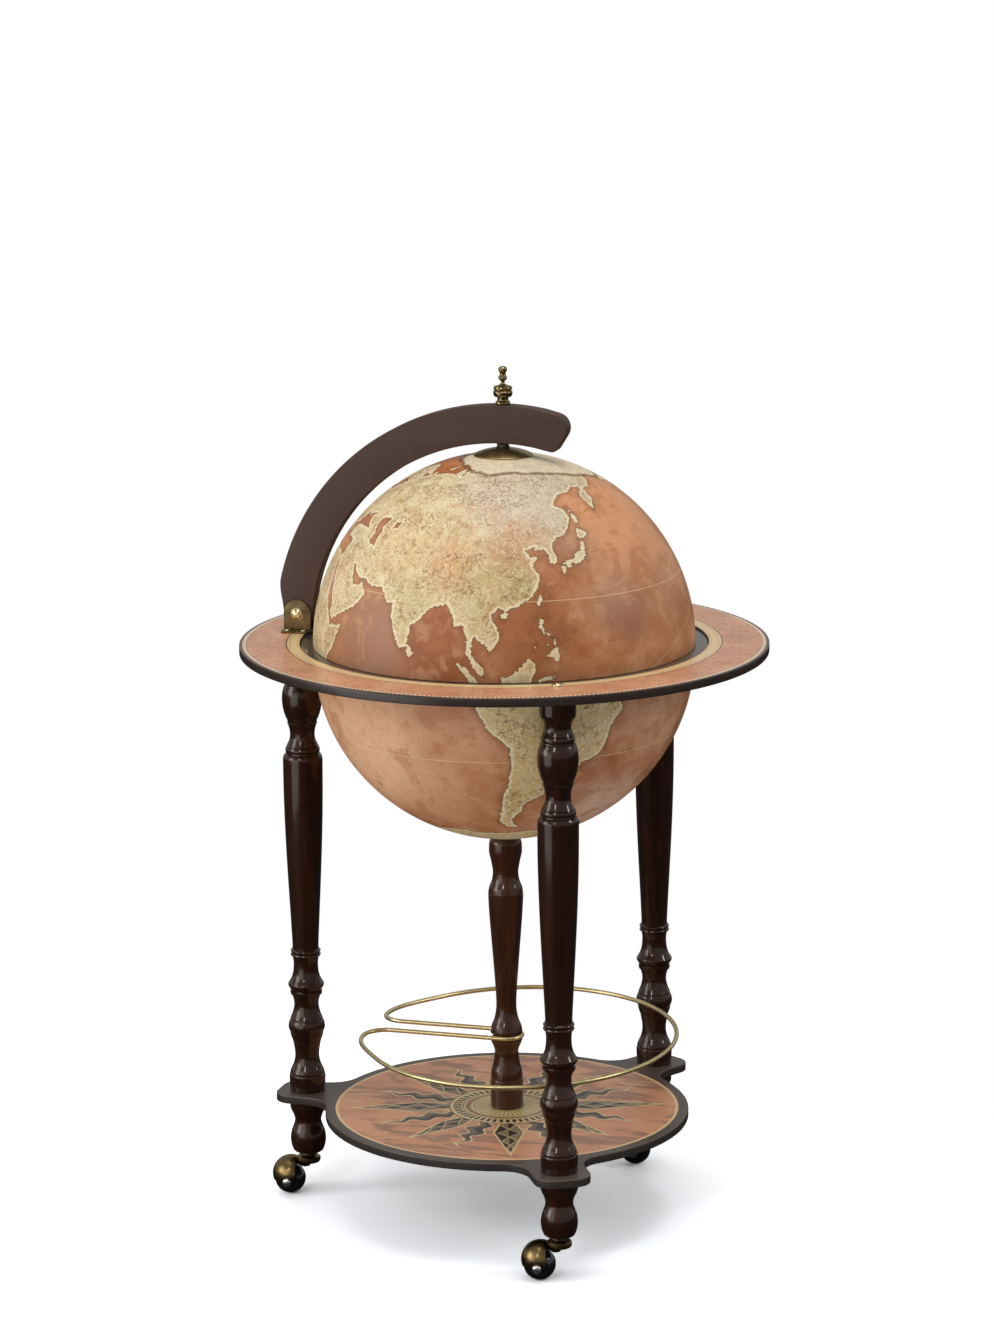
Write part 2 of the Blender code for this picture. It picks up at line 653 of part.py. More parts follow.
def pole_hub(parent):
    bore = PIVOT_R + GAP
    top = ceiling(HUB_R) - GAP
    profile = [(HUB_R, top), (HUB_R, top - HUB_T), (bore, top - HUB_T), (bore, top)]
    return piece("pole_hub", turned_mesh("pole_hub", profile, TURNED_STEPS, closed=True), RACK_LOOK, (0, 0, LID_Z), parent=parent)


def hub_bottom():
    return LID_Z + ceiling(HUB_R) - GAP - HUB_T


def pivot_rod(parent):
    low = hub_bottom() - GAP - PIVOT_NUT_T - GAP
    high = ARM_Z + ARM_OUT + FINIAL_BORE - GAP
    profile = [(0, high - low), (PIVOT_R, high - low), (PIVOT_R, 0), (0, 0)]
    return piece("pivot_rod", turned_mesh("pivot_rod", profile, TURNED_STEPS), STEEL_LOOK, (0, 0, low), parent=parent)


def finial(parent):
    bore = PIVOT_R + GAP
    profile = [(0, FINIAL[-1][0] * TURNING_UNIT + GAP)] + [(radius, distance) for distance, radius in scaled(FINIAL)[::-1]]
    profile += [(bore, 0), (bore, FINIAL_BORE), (0, FINIAL_BORE)]
    return piece("finial", turned_mesh("finial", profile, TURNED_STEPS), BRASS_LOOK, (0, 0, ARM_Z + ARM_OUT + GAP), parent=parent)


def pivot_spacer(parent):
    low = LID_Z + GLOBE_R + CAP_RISE + 2 * GAP
    height = ARM_Z + ARM_IN - GAP - low
    bore = PIVOT_R + GAP
    profile = [(SPACER_R, height), (SPACER_R, 0), (bore, 0), (bore, height)]
    return piece("pivot_spacer", turned_mesh("pivot_spacer", profile, TURNED_STEPS, closed=True), SEAT_LOOK, (0, 0, low), parent=parent)


# Fixings


def leg_bolt(side):
    # Domed on the open ring, flat where the bracket's base covers it
    head = FLAT_T if side == "left" else DOME_T
    profile = dome_head(BOLT_HEAD_R, head) if side != "left" else [(0, head), (BOLT_HEAD_R, head), (BOLT_HEAD_R, 0)]
    depth = RING_T + 2 * GAP + LEG_BOLT_DEPTH - 2 * GAP
    profile = profile + [(BOLT_R, 0), (BOLT_R, -depth), (0, -depth)]
    name = side + "_leg_bolt"
    return piece(name, turned_mesh(name, profile, SMALL_STEPS), BRASS_LOOK, leg_point(side, RING_TOP + GAP))


def leg_stud(side):
    low = SHELF_Z - GAP - STUD_DEPTH_FOOT + GAP
    high = SHELF_TOP + GAP + STUD_DEPTH_LEG - GAP
    profile = [(0, high - low), (BOLT_R, high - low), (BOLT_R, 0), (0, 0)]
    name = side + "_leg_stud"
    return piece(name, turned_mesh(name, profile, SMALL_STEPS), STEEL_LOOK, leg_point(side, low))


def column_screw():
    # Up through the shelf into the column
    reach = GAP + SHELF_T + GAP + COLUMN_SCREW_DEPTH
    profile = [(0, reach), (COLUMN_SCREW_R, reach), (COLUMN_SCREW_R, 0), (COLUMN_HEAD_R, 0),
               (COLUMN_HEAD_R, -COLUMN_HEAD_T), (0, -COLUMN_HEAD_T)]
    return piece("column_screw", turned_mesh("column_screw", profile, SMALL_STEPS), STEEL_LOOK, (0, 0, SHELF_Z - GAP))


def bowl_screw():
    # Down through the bowl's floor into the column
    rest = BOWL_Z - bowl_wall(BOWL_HEAD_R, 0) + GAP
    end = BOWL_Z - GLOBE_R - GAP - COLUMN_SCREW_DEPTH
    profile = dome_head(BOWL_HEAD_R, BOWL_HEAD_T) + [(COLUMN_SCREW_R, 0), (COLUMN_SCREW_R, end - rest), (0, end - rest)]
    return piece("bowl_screw", turned_mesh("bowl_screw", profile, SMALL_STEPS), STEEL_LOOK, (0, 0, rest))


def bracket_screw(index, place):
    name = f"bracket_screw_{index}"
    profile = dome_head(SCREW_HEAD_R, SCREW_HEAD_T, 2)
    depth = BASE_T + RING_T
    profile += [(SCREW_R, 0), (SCREW_R, -depth), (0, -depth)]
    return piece(name, turned_mesh(name, profile, 8), BRASS_LOOK, (place[0], place[1], BASE_TOP + GAP))


# Casters, each built with its swivel axis on Z and its wheel trailing along +X


def ball(radius, half, bore=0.0, rings=3):
    # Profile of a ball cut flat at both ends, about the axle
    flat = sqrt(radius**2 - half**2)
    top = atan2(half, flat)
    side = [(radius * cos(top * (1 - i / rings)), radius * sin(top * (1 - i / rings))) for i in range(rings + 1)]
    side += [(r, -z) for r, z in side[-2::-1]]
    if bore:
        return side + [(bore, -half), (bore, half)]
    return [(0, half)] + side + [(0, -half)]


def wheel_mesh():
    mesh = turned_mesh("wheel", ball(WHEEL_R, WHEEL_HALF, AXLE_R + GAP), WHEEL_STEPS, closed=True)
    mesh.transform(Matrix.Rotation(pi / 2, 4, "X"))
    return mesh


def helper(name, mesh, at=(0, 0, 0), turn=(0, 0, 0)):
    obj = bpy.data.objects.new(name, mesh)
    obj.location = at
    obj.rotation_euler = turn
    return obj


def block_below(degrees):
    # A slab whose upper face passes through the axle at this angle
    work = bmesh.new()
    bmesh.ops.create_cube(work, size=1)
    mesh = bpy.data.meshes.new("slab")
    work.to_mesh(mesh)
    work.free()
    size = 4 * HOOD_R
    mesh.transform(Matrix.Translation((0, 0, -size / 2)) @ Matrix.Diagonal((size, size, size, 1)))
    return helper("slab", mesh, (TRAIL, 0, WHEEL_R), (0, -radians(degrees), 0))


def ball_mesh(name, radius):
    work = bmesh.new()
    bmesh.ops.create_uvsphere(work, u_segments=WHEEL_STEPS, v_segments=WHEEL_STEPS // 2, radius=radius)
    mesh = bpy.data.meshes.new(name)
    work.to_mesh(mesh)
    work.free()
    mesh.transform(Matrix.Rotation(pi / 2, 4, "X"))
    return mesh


def hood_mesh():
    # Plate, horn and half-open hood in one casting, with an ear at each end of the axle
    hood = helper("hood", ball_mesh("hood", HOOD_R), (HOOD_TRAIL, 0, HOOD_Z))
    plate = [(0, PLATE_TOP), (PLATE_R - 0.001, PLATE_TOP), (PLATE_R, PLATE_TOP - 0.001),
             (PLATE_R, PLATE_TOP - PLATE_T + 0.0015), (PLATE_R - 0.002, PLATE_TOP - PLATE_T), (0, PLATE_TOP - PLATE_T)]
    horn_top = PLATE_TOP - PLATE_T / 2
    horn = [(0, horn_top), (PLATE_R * 0.72, horn_top), (PLATE_R * 0.4, horn_top - HORN_DROP), (0, horn_top - HORN_DROP)]
    seat = PLATE_TOP - STEM_SEAT
    stem_hole = [(0, CASTER_H + GAP), (STEM_R + GAP, CASTER_H + GAP), (STEM_R + GAP, seat), (0, seat)]
    ear_in, ear_out = WHEEL_HALF + 2 * GAP, HOOD_R + GAP
    ear = [(0, ear_out), (EAR_R, ear_out), (EAR_R, ear_in), (0, ear_in)]
    drill = [(0, 2 * HOOD_R), (AXLE_R + GAP, 2 * HOOD_R), (AXLE_R + GAP, -2 * HOOD_R), (0, -2 * HOOD_R)]
    axle = (TRAIL, 0, WHEEL_R)
    room = ball(WHEEL_R + 2 * GAP, WHEEL_HALF + GAP)
    # The drills' facets are turned so that none of their corners meets an edge of the casting
    half = pi / SMALL_STEPS
    steps = [
        (helper("cavity", ball_mesh("cavity", HOOD_R - HOOD_T), (HOOD_TRAIL, 0, HOOD_Z)), "DIFFERENCE"),
        (block_below(HOOD_FROM), "DIFFERENCE"),
        (block_below(HOOD_TO + 180), "DIFFERENCE"),
        (helper("plate", turned_mesh("plate", plate, TURNED_STEPS)), "UNION"),
        (helper("horn", turned_mesh("horn", horn, TURNED_STEPS), (PLATE_R * 0.3, 0, 0)), "UNION"),
        (helper("near_ear", turned_mesh("ear", ear, SMALL_STEPS), axle, (pi / 2, 0, 0)), "UNION"),
        (helper("far_ear", turned_mesh("ear", ear, SMALL_STEPS), axle, (-pi / 2, 0, 0)), "UNION"),
        (helper("room", turned_mesh("room", room, WHEEL_STEPS), axle, (pi / 2, 0, 0)), "DIFFERENCE"),
        (helper("drill", turned_mesh("drill", drill, SMALL_STEPS), axle, (pi / 2, half, 0)), "DIFFERENCE"),
        (helper("stem_hole", turned_mesh("stem_hole", stem_hole, SMALL_STEPS), turn=(0, 0, half)), "DIFFERENCE"),
    ]
    for cutter, operation in steps:
        cut(hood, cutter, operation)
    mesh = solid_mesh(hood, "caster_hood")
    for cutter, operation in steps:
        bpy.data.objects.remove(cutter)
    mesh.transform(Matrix.Translation((HOOD_TRAIL, 0, HOOD_Z)))
    return mesh


def axle_mesh():
    face = HOOD_R + 2 * GAP
    cap = [(r, face + z) for r, z in dome_head(AXLE_CAP_R, AXLE_CAP_T)] + [(AXLE_R, face)]
    return turned_mesh("axle", cap + [(r, -z) for r, z in cap[::-1]], SMALL_STEPS)


def stem_mesh():
    low = PLATE_TOP - STEM_SEAT + GAP
    high = CASTER_H + GAP + STEM_DEPTH
    return turned_mesh("stem", [(0, high), (STEM_R, high), (STEM_R, low), (0, low)], SMALL_STEPS)


def socket_mesh():
    low = CASTER_H + GAP
    high = low + STEM_DEPTH + GAP
    inner = STEM_R + GAP
    return turned_mesh("socket", [(SOCKET_R, high), (SOCKET_R, low), (inner, low), (inner, high)], SMALL_STEPS, closed=True)


def caster(side, meshes):
    heading = radians(CASTER_AZIMUTH)
    base = leg_point(side)
    swivel = axis_empty(side + "_swivel_axis", base)
    hub = base + Vector((TRAIL * cos(heading), TRAIL * sin(heading), WHEEL_R))
    turn = (0, 0, heading)
    piece(side + "_caster_socket", meshes["socket"], STEEL_LOOK, base)
    piece(side + "_caster_stem", meshes["stem"], STEEL_LOOK, base, turn, swivel)
    piece(side + "_caster_hood", meshes["hood"], BRACKET_LOOK, base, turn, swivel)
    piece(side + "_caster_axle", meshes["axle"], CHROME_LOOK, hub, (pi / 2, 0, heading), swivel)
    piece(side + "_caster_wheel", meshes["wheel"], TYRE_LOOK, hub, turn, swivel)


for leftover in list(bpy.data.objects):
    bpy.data.objects.remove(leftover)

PARTS = collection("globe_bar")
CUTTERS = collection("cutters")

WOOD_LOOK = material("mahogany_lacquer", (58, 32, 26), 0.3)
ARM_LOOK = material("brown_stained_board", (84, 62, 54), 0.55)
RING_LOOK = material("ring_board", (176, 126, 98), 0.45)
SHELF_LOOK = material("shelf_board", (70, 58, 54), 0.5)
SEAT_LOOK = material("dark_seat", (72, 60, 66), 0.5)
TRAY_LOOK = material("tray_moulding", (48, 40, 38), 0.5)
RACK_LOOK = material("plain_wood", (150, 104, 68), 0.5)
GLOBE_LOOK = material("globe_paper", (196, 138, 104), 0.4)
BRACKET_LOOK = material("antique_brass", (118, 100, 66), 0.35, 1.0)
BRASS_LOOK = material("polished_brass", (206, 178, 108), 0.2, 1.0)
RAIL_LOOK = material("satin_brass", (176, 154, 86), 0.3, 1.0)
STEEL_LOOK = material("steel", (150, 150, 152), 0.35, 1.0)
CHROME_LOOK = material("chrome", (215, 215, 215), 0.15, 1.0)
TYRE_LOOK = material("black_wheel", (14, 14, 15), 0.3)

horizon_ring()
rim_seat()
hemisphere("lower_hemisphere", False, COLUMN_SCREW_R + GAP, GLOBE_LOOK, (0, 0, BOWL_Z))
tray_rim()
glass_rack()
bottle_floor()
centre_column()
bottle_shelf()
bottle_rail()
hinge_bracket()
hinge_pin()
nut("hinge_nut", NUT_R, NUT_T, PIN_R + GAP, BRASS_LOOK, (-LEG_R, CHEEK_Y + CHEEK_T + GAP, PIN_Z), (-pi / 2, 0, 0))
column_screw()
bowl_screw()
for number, spot in enumerate(bracket_screws(), 1):
    bracket_screw(number, spot)

leg, foot = leg_mesh(), foot_mesh()
caster_meshes = {"socket": socket_mesh(), "stem": stem_mesh(), "hood": hood_mesh(), "axle": axle_mesh(),
                 "wheel": wheel_mesh()}
for which in LEG_AZIMUTHS:
    piece(which + "_leg", leg, WOOD_LOOK, leg_point(which, SHELF_TOP + GAP))
    piece(which + "_foot", foot, WOOD_LOOK, leg_point(which, CASTER_H + GAP))
    leg_bolt(which)
    leg_stud(which)
    caster(which, caster_meshes)

arm_axis = axis_empty("arm_tilt_axis", (-LEG_R, 0, PIN_Z))
meridian_arm(arm_axis)
pivot_rod(arm_axis)
finial(arm_axis)
pivot_spacer(arm_axis)
nut("pivot_nut", PIVOT_NUT_R, PIVOT_NUT_T, PIVOT_R + GAP, STEEL_LOOK,
    (0, 0, hub_bottom() - GAP - PIVOT_NUT_T), parent=arm_axis)
hemisphere("upper_hemisphere", True, PIVOT_R + GAP, GLOBE_LOOK, (0, 0, LID_Z), arm_axis)
pole_cap(arm_axis)
pole_hub(arm_axis)
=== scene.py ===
from math import acos, atan2, ceil, cos, hypot, pi, radians, sin, sqrt, tau

import bmesh
import bpy
import numpy as np
from mathutils import Matrix, Vector
from mathutils.kdtree import KDTree


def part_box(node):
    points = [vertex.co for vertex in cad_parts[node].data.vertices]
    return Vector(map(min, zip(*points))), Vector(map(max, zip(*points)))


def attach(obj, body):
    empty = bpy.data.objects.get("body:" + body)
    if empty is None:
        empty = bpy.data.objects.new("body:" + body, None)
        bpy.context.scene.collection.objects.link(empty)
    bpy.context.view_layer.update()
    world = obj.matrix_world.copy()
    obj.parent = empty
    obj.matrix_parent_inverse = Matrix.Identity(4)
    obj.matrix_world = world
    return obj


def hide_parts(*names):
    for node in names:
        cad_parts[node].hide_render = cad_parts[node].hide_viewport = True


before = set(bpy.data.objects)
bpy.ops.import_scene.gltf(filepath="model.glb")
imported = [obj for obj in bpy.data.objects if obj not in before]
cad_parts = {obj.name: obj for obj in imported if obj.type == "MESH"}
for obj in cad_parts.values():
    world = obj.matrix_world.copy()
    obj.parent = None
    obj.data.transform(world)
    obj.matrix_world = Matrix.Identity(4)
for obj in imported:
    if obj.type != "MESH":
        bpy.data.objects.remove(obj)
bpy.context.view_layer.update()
print("frame loaded")

mm = 0.001
gap = 0.3 * mm  # left between neighbouring pieces


# Colours and materials


def rgb(red, green, blue):
    def linear(value):
        value /= 255
        return value / 12.92 if value <= 0.04045 else ((value + 0.055) / 1.055) ** 2.4

    return linear(red), linear(green), linear(blue), 1.0


def feed(tree, socket, value):
    # Sets an input, or links it where the value is a wire or an output
    if isinstance(value, Wire):
        value = value.socket
    if isinstance(value, bpy.types.NodeSocket):
        tree.links.new(value, socket)
    else:
        socket.default_value = value


def addNode(tree, kind, settings=None, values=None):
    node = tree.nodes.new(kind)
    for setting, value in (settings or {}).items():
        setattr(node, setting, value)
    for socket, value in (values or {}).items():
        feed(tree, node.inputs[socket], value)
    return node


def asMaths(operation, swapped=False):
    # What an operator on wires does: it adds a Math node
    def operator(wire, other):
        return wire.maths(operation, other, wire) if swapped else wire.maths(operation, wire, other)

    return operator


class Wire:
    # One output of a node
    def __init__(self, finish, socket):
        self.finish = finish
        self.socket = socket

    def maths(self, operation, *values):
        return self.finish.add("ShaderNodeMath", {"operation": operation}, dict(enumerate(values)))

    __add__ = __radd__ = asMaths("ADD")
    __mul__ = __rmul__ = asMaths("MULTIPLY")
    __sub__, __rsub__ = asMaths("SUBTRACT"), asMaths("SUBTRACT", True)
    __truediv__, __mod__, __pow__ = asMaths("DIVIDE"), asMaths("FLOORED_MODULO"), asMaths("POWER")
    __lt__, __gt__ = asMaths("LESS_THAN"), asMaths("GREATER_THAN")
    least, most = asMaths("MINIMUM"), asMaths("MAXIMUM")

    def __abs__(self):
        return self.maths("ABSOLUTE", self)

    def beside(self, name):
        # Another output of the same node
        return Wire(self.finish, self.socket.node.outputs[name])

    def sine(self):
        return self.maths("SINE", self)

    def cosine(self):
        return self.maths("COSINE", self)

    def between(self, low, high):
        # 0 below low, 1 above high and smooth between
        values = {"Value": self, "From Min": low, "From Max": high}
        return self.finish.add("ShaderNodeMapRange", {"interpolation_type": "SMOOTHSTEP"}, values)

    def near(self, place, width, soft=0.3):
        # 1 within half the width of a place
        return 1 - abs(self - place).between(width / 2 * (1 - soft), width / 2 * (1 + soft))


class Finish:
    # A material round one Principled shader
    def __init__(self, name, constants):
        self.material = bpy.data.materials.new(name)
        self.material.use_nodes = True
        self.tree = self.material.node_tree
        self.shader = self.tree.nodes["Principled BSDF"]
        for socket, value in constants.items():
            self.shader.inputs[socket].default_value = value
        self.place = self.add("ShaderNodeTexCoord", output="Object")

    def add(self, kind, settings=None, values=None, output=0):
        return Wire(self, addNode(self.tree, kind, settings, values).outputs[output])

    def paint(self, **wires):
        # Base_Color=..., Roughness=... and so on
        for socket, wire in wires.items():
            feed(self.tree, self.shader.inputs[socket.replace("_", " ")], wire)

    def axes(self):
        parts = self.add("ShaderNodeSeparateXYZ", values={0: self.place})
        return parts, parts.beside("Y"), parts.beside("Z")

    def polarAxes(self):
        # Distance from the Z axis, azimuth and height
        x, y, z = self.axes()
        return (x * x + y * y) ** 0.5, y.maths("ARCTAN2", y, x), z

    def stretched(self, x, y, z):
        return self.add("ShaderNodeMapping", values={"Vector": self.place, "Scale": (x, y, z)})

    def noise(self, size, detail=4.0, roughness=0.55, vector=None, distortion=0.0, seed=0.0):
        # size is how far apart the blotches are, in metres
        values = {"Vector": vector or self.place, "W": seed, "Scale": 1 / size, "Detail": detail}
        values.update({"Roughness": roughness, "Distortion": distortion})
        return self.add("ShaderNodeTexNoise", {"noise_dimensions": "4D"}, values)

    def dots(self, size, vector):
        # How far each point is from the nearest of many scattered ones
        return self.add("ShaderNodeTexVoronoi", None, {"Vector": vector, "Scale": 1 / size}, "Distance")

    def ramp(self, value, *stops):
        ramp = self.add("ShaderNodeValToRGB", values={0: value})
        marks = ramp.socket.node.color_ramp.elements
        while len(marks) < len(stops):
            marks.new(0.5)
        for mark, (position, colour) in zip(marks, stops):
            mark.position = position
            mark.color = colour
        return ramp

    def mix(self, share, first, second):
        settings = {"data_type": "RGBA", "blend_type": "MIX"}
        return self.add("ShaderNodeMix", settings, {0: share, 6: first, 7: second}, 2)

    def layered(self, tone, *layers):
        # Each (share, colour) laid over what is under it
        for share, colour in layers:
            tone = self.mix(share, tone, colour)
        return tone

    def bump(self, height, distance):
        self.paint(Normal=self.add("ShaderNodeBump", values={"Height": height, "Distance": distance}))


def woodFinish(name, look, along="z"):
    # Stained wood under lacquer: long grain, fine pores and a little wear
    wood = Finish(name, {"Coat Roughness": look["coatRoughness"], "Coat Weight": look["coat"],
                         "Specular IOR Level": look["gloss"], "Specular Tint": look["sheen"]})
    grainScale = {"z": (1, 1, 0.06), "x": (0.06, 1, 1)}[along]
    poreScale = {"z": (1, 1, 0.025), "x": (0.025, 1, 1)}[along]
    grain = wood.noise(9 * mm, 5, 0.6, wood.stretched(*grainScale), 0.6, look["seed"])
    pores = wood.noise(0.9 * mm, 2, 0.5, wood.stretched(*poreScale), 0.0, look["seed"])
    cloud = wood.noise(60 * mm, 2, 0.5, seed=look["seed"] + 4)
    tone = wood.ramp(grain, (0.3, look["dark"]), (0.52, look["middle"]), (0.75, look["light"]))
    tone = wood.layered(tone, (pores.between(0.62, 0.72) * 0.3, look["dark"]),
                        (cloud.between(0.3, 0.75) * 0.35, look["middle"]))
    wood.paint(Base_Color=tone, Roughness=cloud * 0.12 + pores * 0.06 + look["roughness"])
    wood.bump(grain * 0.4 + pores * 0.6, look["relief"])
    return wood.material


def metalFinish(name, look):
    # Metal with a slightly uneven polish and tarnish in broad patches
    metal = Finish(name, {"Metallic": 1.0})
    cloud = metal.noise(look["patch"], 4, 0.6, seed=look["seed"])
    fine = metal.noise(0.5 * mm, 3, 0.6, seed=look["seed"] + 1)
    tone = metal.ramp(cloud, (0.3, look["dark"]), (0.7, look["light"]))
    metal.paint(Base_Color=tone, Roughness=cloud * look["uneven"] + fine * 0.05 + look["roughness"])
    metal.bump(fine, look["relief"])
    return metal.material


def mouldedFinish(name, look):
    # Moulded plastic or paint with a fine grain
    body = Finish(name, {"Coat Weight": look["coat"], "Coat Roughness": 0.12})
    cloud = body.noise(30 * mm, 3, 0.5, seed=look["seed"])
    grain = body.noise(0.7 * mm, 2, 0.5, seed=look["seed"] + 2)
    tone = body.mix(cloud, look["dark"], look["light"])
    body.paint(Base_Color=tone, Roughness=cloud * 0.1 + grain * 0.06 + look["roughness"])
    body.bump(grain, look["relief"])
    return body.material


lacquer = {
    "roughness": 0.28, "gloss": 0.25, "sheen": rgb(255, 190, 150), "coat": 0.85, "coatRoughness": 0.12,
    "relief": 0.004 * mm}
mahogany = woodFinish("mahoganyLacquer", {
    **lacquer, "dark": rgb(20, 8, 3), "middle": rgb(38, 15, 6), "light": rgb(54, 23, 10), "seed": 1.0})
# A lighter copy of the legs' lacquer: painted light for the centre column, which stands in the shade under
# the bowl
columnWoodPaintedLight = woodFinish("columnLacquerPaintedLight", {
    **lacquer, "dark": rgb(34, 15, 6), "middle": rgb(60, 30, 15), "light": rgb(76, 40, 21), "seed": 7.0})
armBoard = woodFinish("brownBoard", {
    "dark": rgb(72, 51, 43), "middle": rgb(75, 54, 46), "light": rgb(79, 57, 48), "roughness": 0.4,
    "gloss": 0.3, "sheen": rgb(255, 255, 255), "coat": 0.0, "coatRoughness": 0.4, "relief": 0.04 * mm,
    "seed": 2.0}, "x")
plainWood = woodFinish("plainWood", {
    "dark": rgb(104, 66, 40), "middle": rgb(146, 100, 64), "light": rgb(170, 122, 80), "roughness": 0.42,
    "gloss": 0.3, "sheen": rgb(255, 255, 255), "coat": 0.1, "coatRoughness": 0.3, "relief": 0.05 * mm,
    "seed": 3.0}, "x")
antiqueBrass = metalFinish("antiqueBrass", {
    "dark": rgb(102, 85, 56), "light": rgb(152, 129, 86), "patch": 9 * mm, "uneven": 0.14,
    "roughness": 0.2, "relief": 0.01 * mm, "seed": 1.0})
# A lighter copy of the antique brass: painted light on the pole cap
capBrassPaintedLight = metalFinish("capBrassPaintedLight", {
    "dark": rgb(136, 116, 74), "light": rgb(190, 166, 114), "patch": 9 * mm, "uneven": 0.14,
    "roughness": 0.24, "relief": 0.01 * mm, "seed": 4.0})
# A darker copy of the antique brass: painted shade on the hinge bracket, toning down the lamps mirrored in
# its flat faces
bracketBrassPaintedShade = metalFinish("bracketBrassPaintedShade", {
    "dark": rgb(84, 70, 48), "light": rgb(126, 107, 74), "patch": 7 * mm, "uneven": 0.14,
    "roughness": 0.24, "relief": 0.01 * mm, "seed": 5.0})
polishedBrass = metalFinish("polishedBrass", {
    "dark": rgb(204, 184, 134), "light": rgb(236, 222, 180), "patch": 6 * mm, "uneven": 0.1,
    "roughness": 0.1, "relief": 0.004 * mm, "seed": 2.0})
satinBrass = metalFinish("satinBrass", {
    "dark": rgb(228, 208, 150), "light": rgb(246, 230, 178), "patch": 14 * mm, "uneven": 0.12,
    "roughness": 0.24, "relief": 0.01 * mm, "seed": 3.0})
agedBrass = metalFinish("agedBrass", {
    "dark": rgb(92, 78, 48), "light": rgb(172, 152, 104), "patch": 5 * mm, "uneven": 0.12,
    "roughness": 0.1, "relief": 0.006 * mm, "seed": 6.0})
steel = metalFinish("steel", {
    "dark": rgb(140, 140, 142), "light": rgb(176, 176, 178), "patch": 8 * mm, "uneven": 0.15,
    "roughness": 0.28, "relief": 0.008 * mm, "seed": 4.0})
chrome = metalFinish("chrome", {
    "dark": rgb(226, 226, 228), "light": rgb(242, 242, 244), "patch": 5 * mm, "uneven": 0.06,
    "roughness": 0.2, "relief": 0.002 * mm, "seed": 5.0})
wheelPlastic = mouldedFinish("blackWheel", {
    "dark": rgb(9, 9, 10), "light": rgb(17, 17, 18), "coat": 0.7, "roughness": 0.2, "relief": 0.004 * mm,
    "seed": 1.0})
# Dark moulding for the rim seat and the pivot spacer. On the seat, in the gap round the globe, the dark
# colour is partly painted shade.
seatPlastic = mouldedFinish("darkSeatGapShade", {
    "dark": rgb(56, 48, 40), "light": rgb(76, 66, 54), "coat": 0.8, "roughness": 0.36, "relief": 0.02 * mm,
    "seed": 2.0})
trayPlastic = mouldedFinish("trayMoulding", {
    "dark": rgb(40, 32, 30), "light": rgb(56, 46, 42), "coat": 0.1, "roughness": 0.44, "relief": 0.03 * mm,
    "seed": 3.0})
print("plain finishes made")


# Meshes


def arc(centre, radius, start, end, steps):
    angles = [radians(start + (end - start) * i / steps) for i in range(steps + 1)]
    return [(centre[0] + radius * cos(a), centre[1] + radius * sin(a)) for a in angles]


def circle(radius, steps=96, centre=(0, 0)):
    return arc(centre, radius, 0, 360, steps)[:-1]


def polar(radius, azimuth):
    return radius * cos(radians(azimuth)), radius * sin(radians(azimuth))


def blend(start, leave, end, arrive, steps):
    # Points between two ends that leave and arrive along the given directions
    start, end = Vector(start), Vector(end)
    reach = (end - start).length
    leave, arrive = Vector(leave).normalized() * reach, Vector(arrive).normalized() * reach
    points = []
    for i in range(1, steps):
        t = i / steps
        point = start * (2 * t**3 - 3 * t**2 + 1) + leave * (t**3 - 2 * t**2 + t)
        points.append(tuple(point + end * (3 * t**2 - 2 * t**3) + arrive * (t**3 - t**2)))
    return points


def rounded(before, corner, after, radius, steps=8):
    # The corner between two straight edges, rounded
    corner = Vector(corner)
    back, on = (Vector(before) - corner).normalized(), (Vector(after) - corner).normalized()
    half = back.angle(on) / 2
    centre = corner + (back + on).normalized() * radius / sin(half)
    first = corner + back * radius * cos(half) / sin(half) - centre
    last = corner + on * radius * cos(half) / sin(half) - centre
    start, turn = atan2(first.y, first.x), last.angle_signed(first)
    return [tuple(centre + Vector((cos(start + turn * i / steps), sin(start + turn * i / steps))) * radius)
            for i in range(steps + 1)]


def softened(points, step):
    # A smooth line through (a, b) points. A third value marks a crisp corner.
    runs, run = [], [points[0]]
    for point in points[1:]:
        run.append(point)
        if len(point) > 2:
            runs.append(run)
            run = [point]
    if len(run) > 1:
        runs.append(run)
    line = [tuple(points[0][:2])]
    for run in runs:
        knots = [np.array(point[:2], float) for point in run]
        knots = [2 * knots[0] - knots[1]] + knots + [2 * knots[-1] - knots[-2]]
        for a, b, c, d in zip(knots, knots[1:], knots[2:], knots[3:]):
            tb = max(np.linalg.norm(b - a), 1e-9) ** 0.5
            tc = tb + max(np.linalg.norm(c - b), 1e-9) ** 0.5
            td = tc + max(np.linalg.norm(d - c), 1e-9) ** 0.5
            count = max(1, ceil(np.linalg.norm(c - b) / step))
            for i in range(1, count + 1):
                t = tb + (tc - tb) * i / count
                ab = a + (b - a) * t / tb
                bc = b + (c - b) * (t - tb) / (tc - tb)
                cd = c + (d - c) * (t - tc) / (td - tc)
                abc = ab + (bc - ab) * t / tc
                bcd = bc + (cd - bc) * (t - tb) / (td - tb)
                line.append(tuple(abc + (bcd - abc) * (t - tb) / (tc - tb)))
    return line


def linked(name, data):
    piece = bpy.data.objects.new(name, data)
    bpy.context.scene.collection.objects.link(piece)
    return piece


def block(name, low, high, matrix):
    # A box between two corners, to cut with
    (west, south, bottom), (east, north, top) = low, high
    sides = ((west, south), (east, south), (east, north), (west, north))
    faces = [(3, 2, 1, 0), (4, 5, 6, 7), (0, 1, 5, 4), (1, 2, 6, 5), (2, 3, 7, 6), (3, 0, 4, 7)]
    mesh = bpy.data.meshes.new(name)
    mesh.from_pydata([(x, y, z) for z in (bottom, top) for x, y in sides], [], faces)
    mesh.transform(matrix)
    return linked(name, mesh)


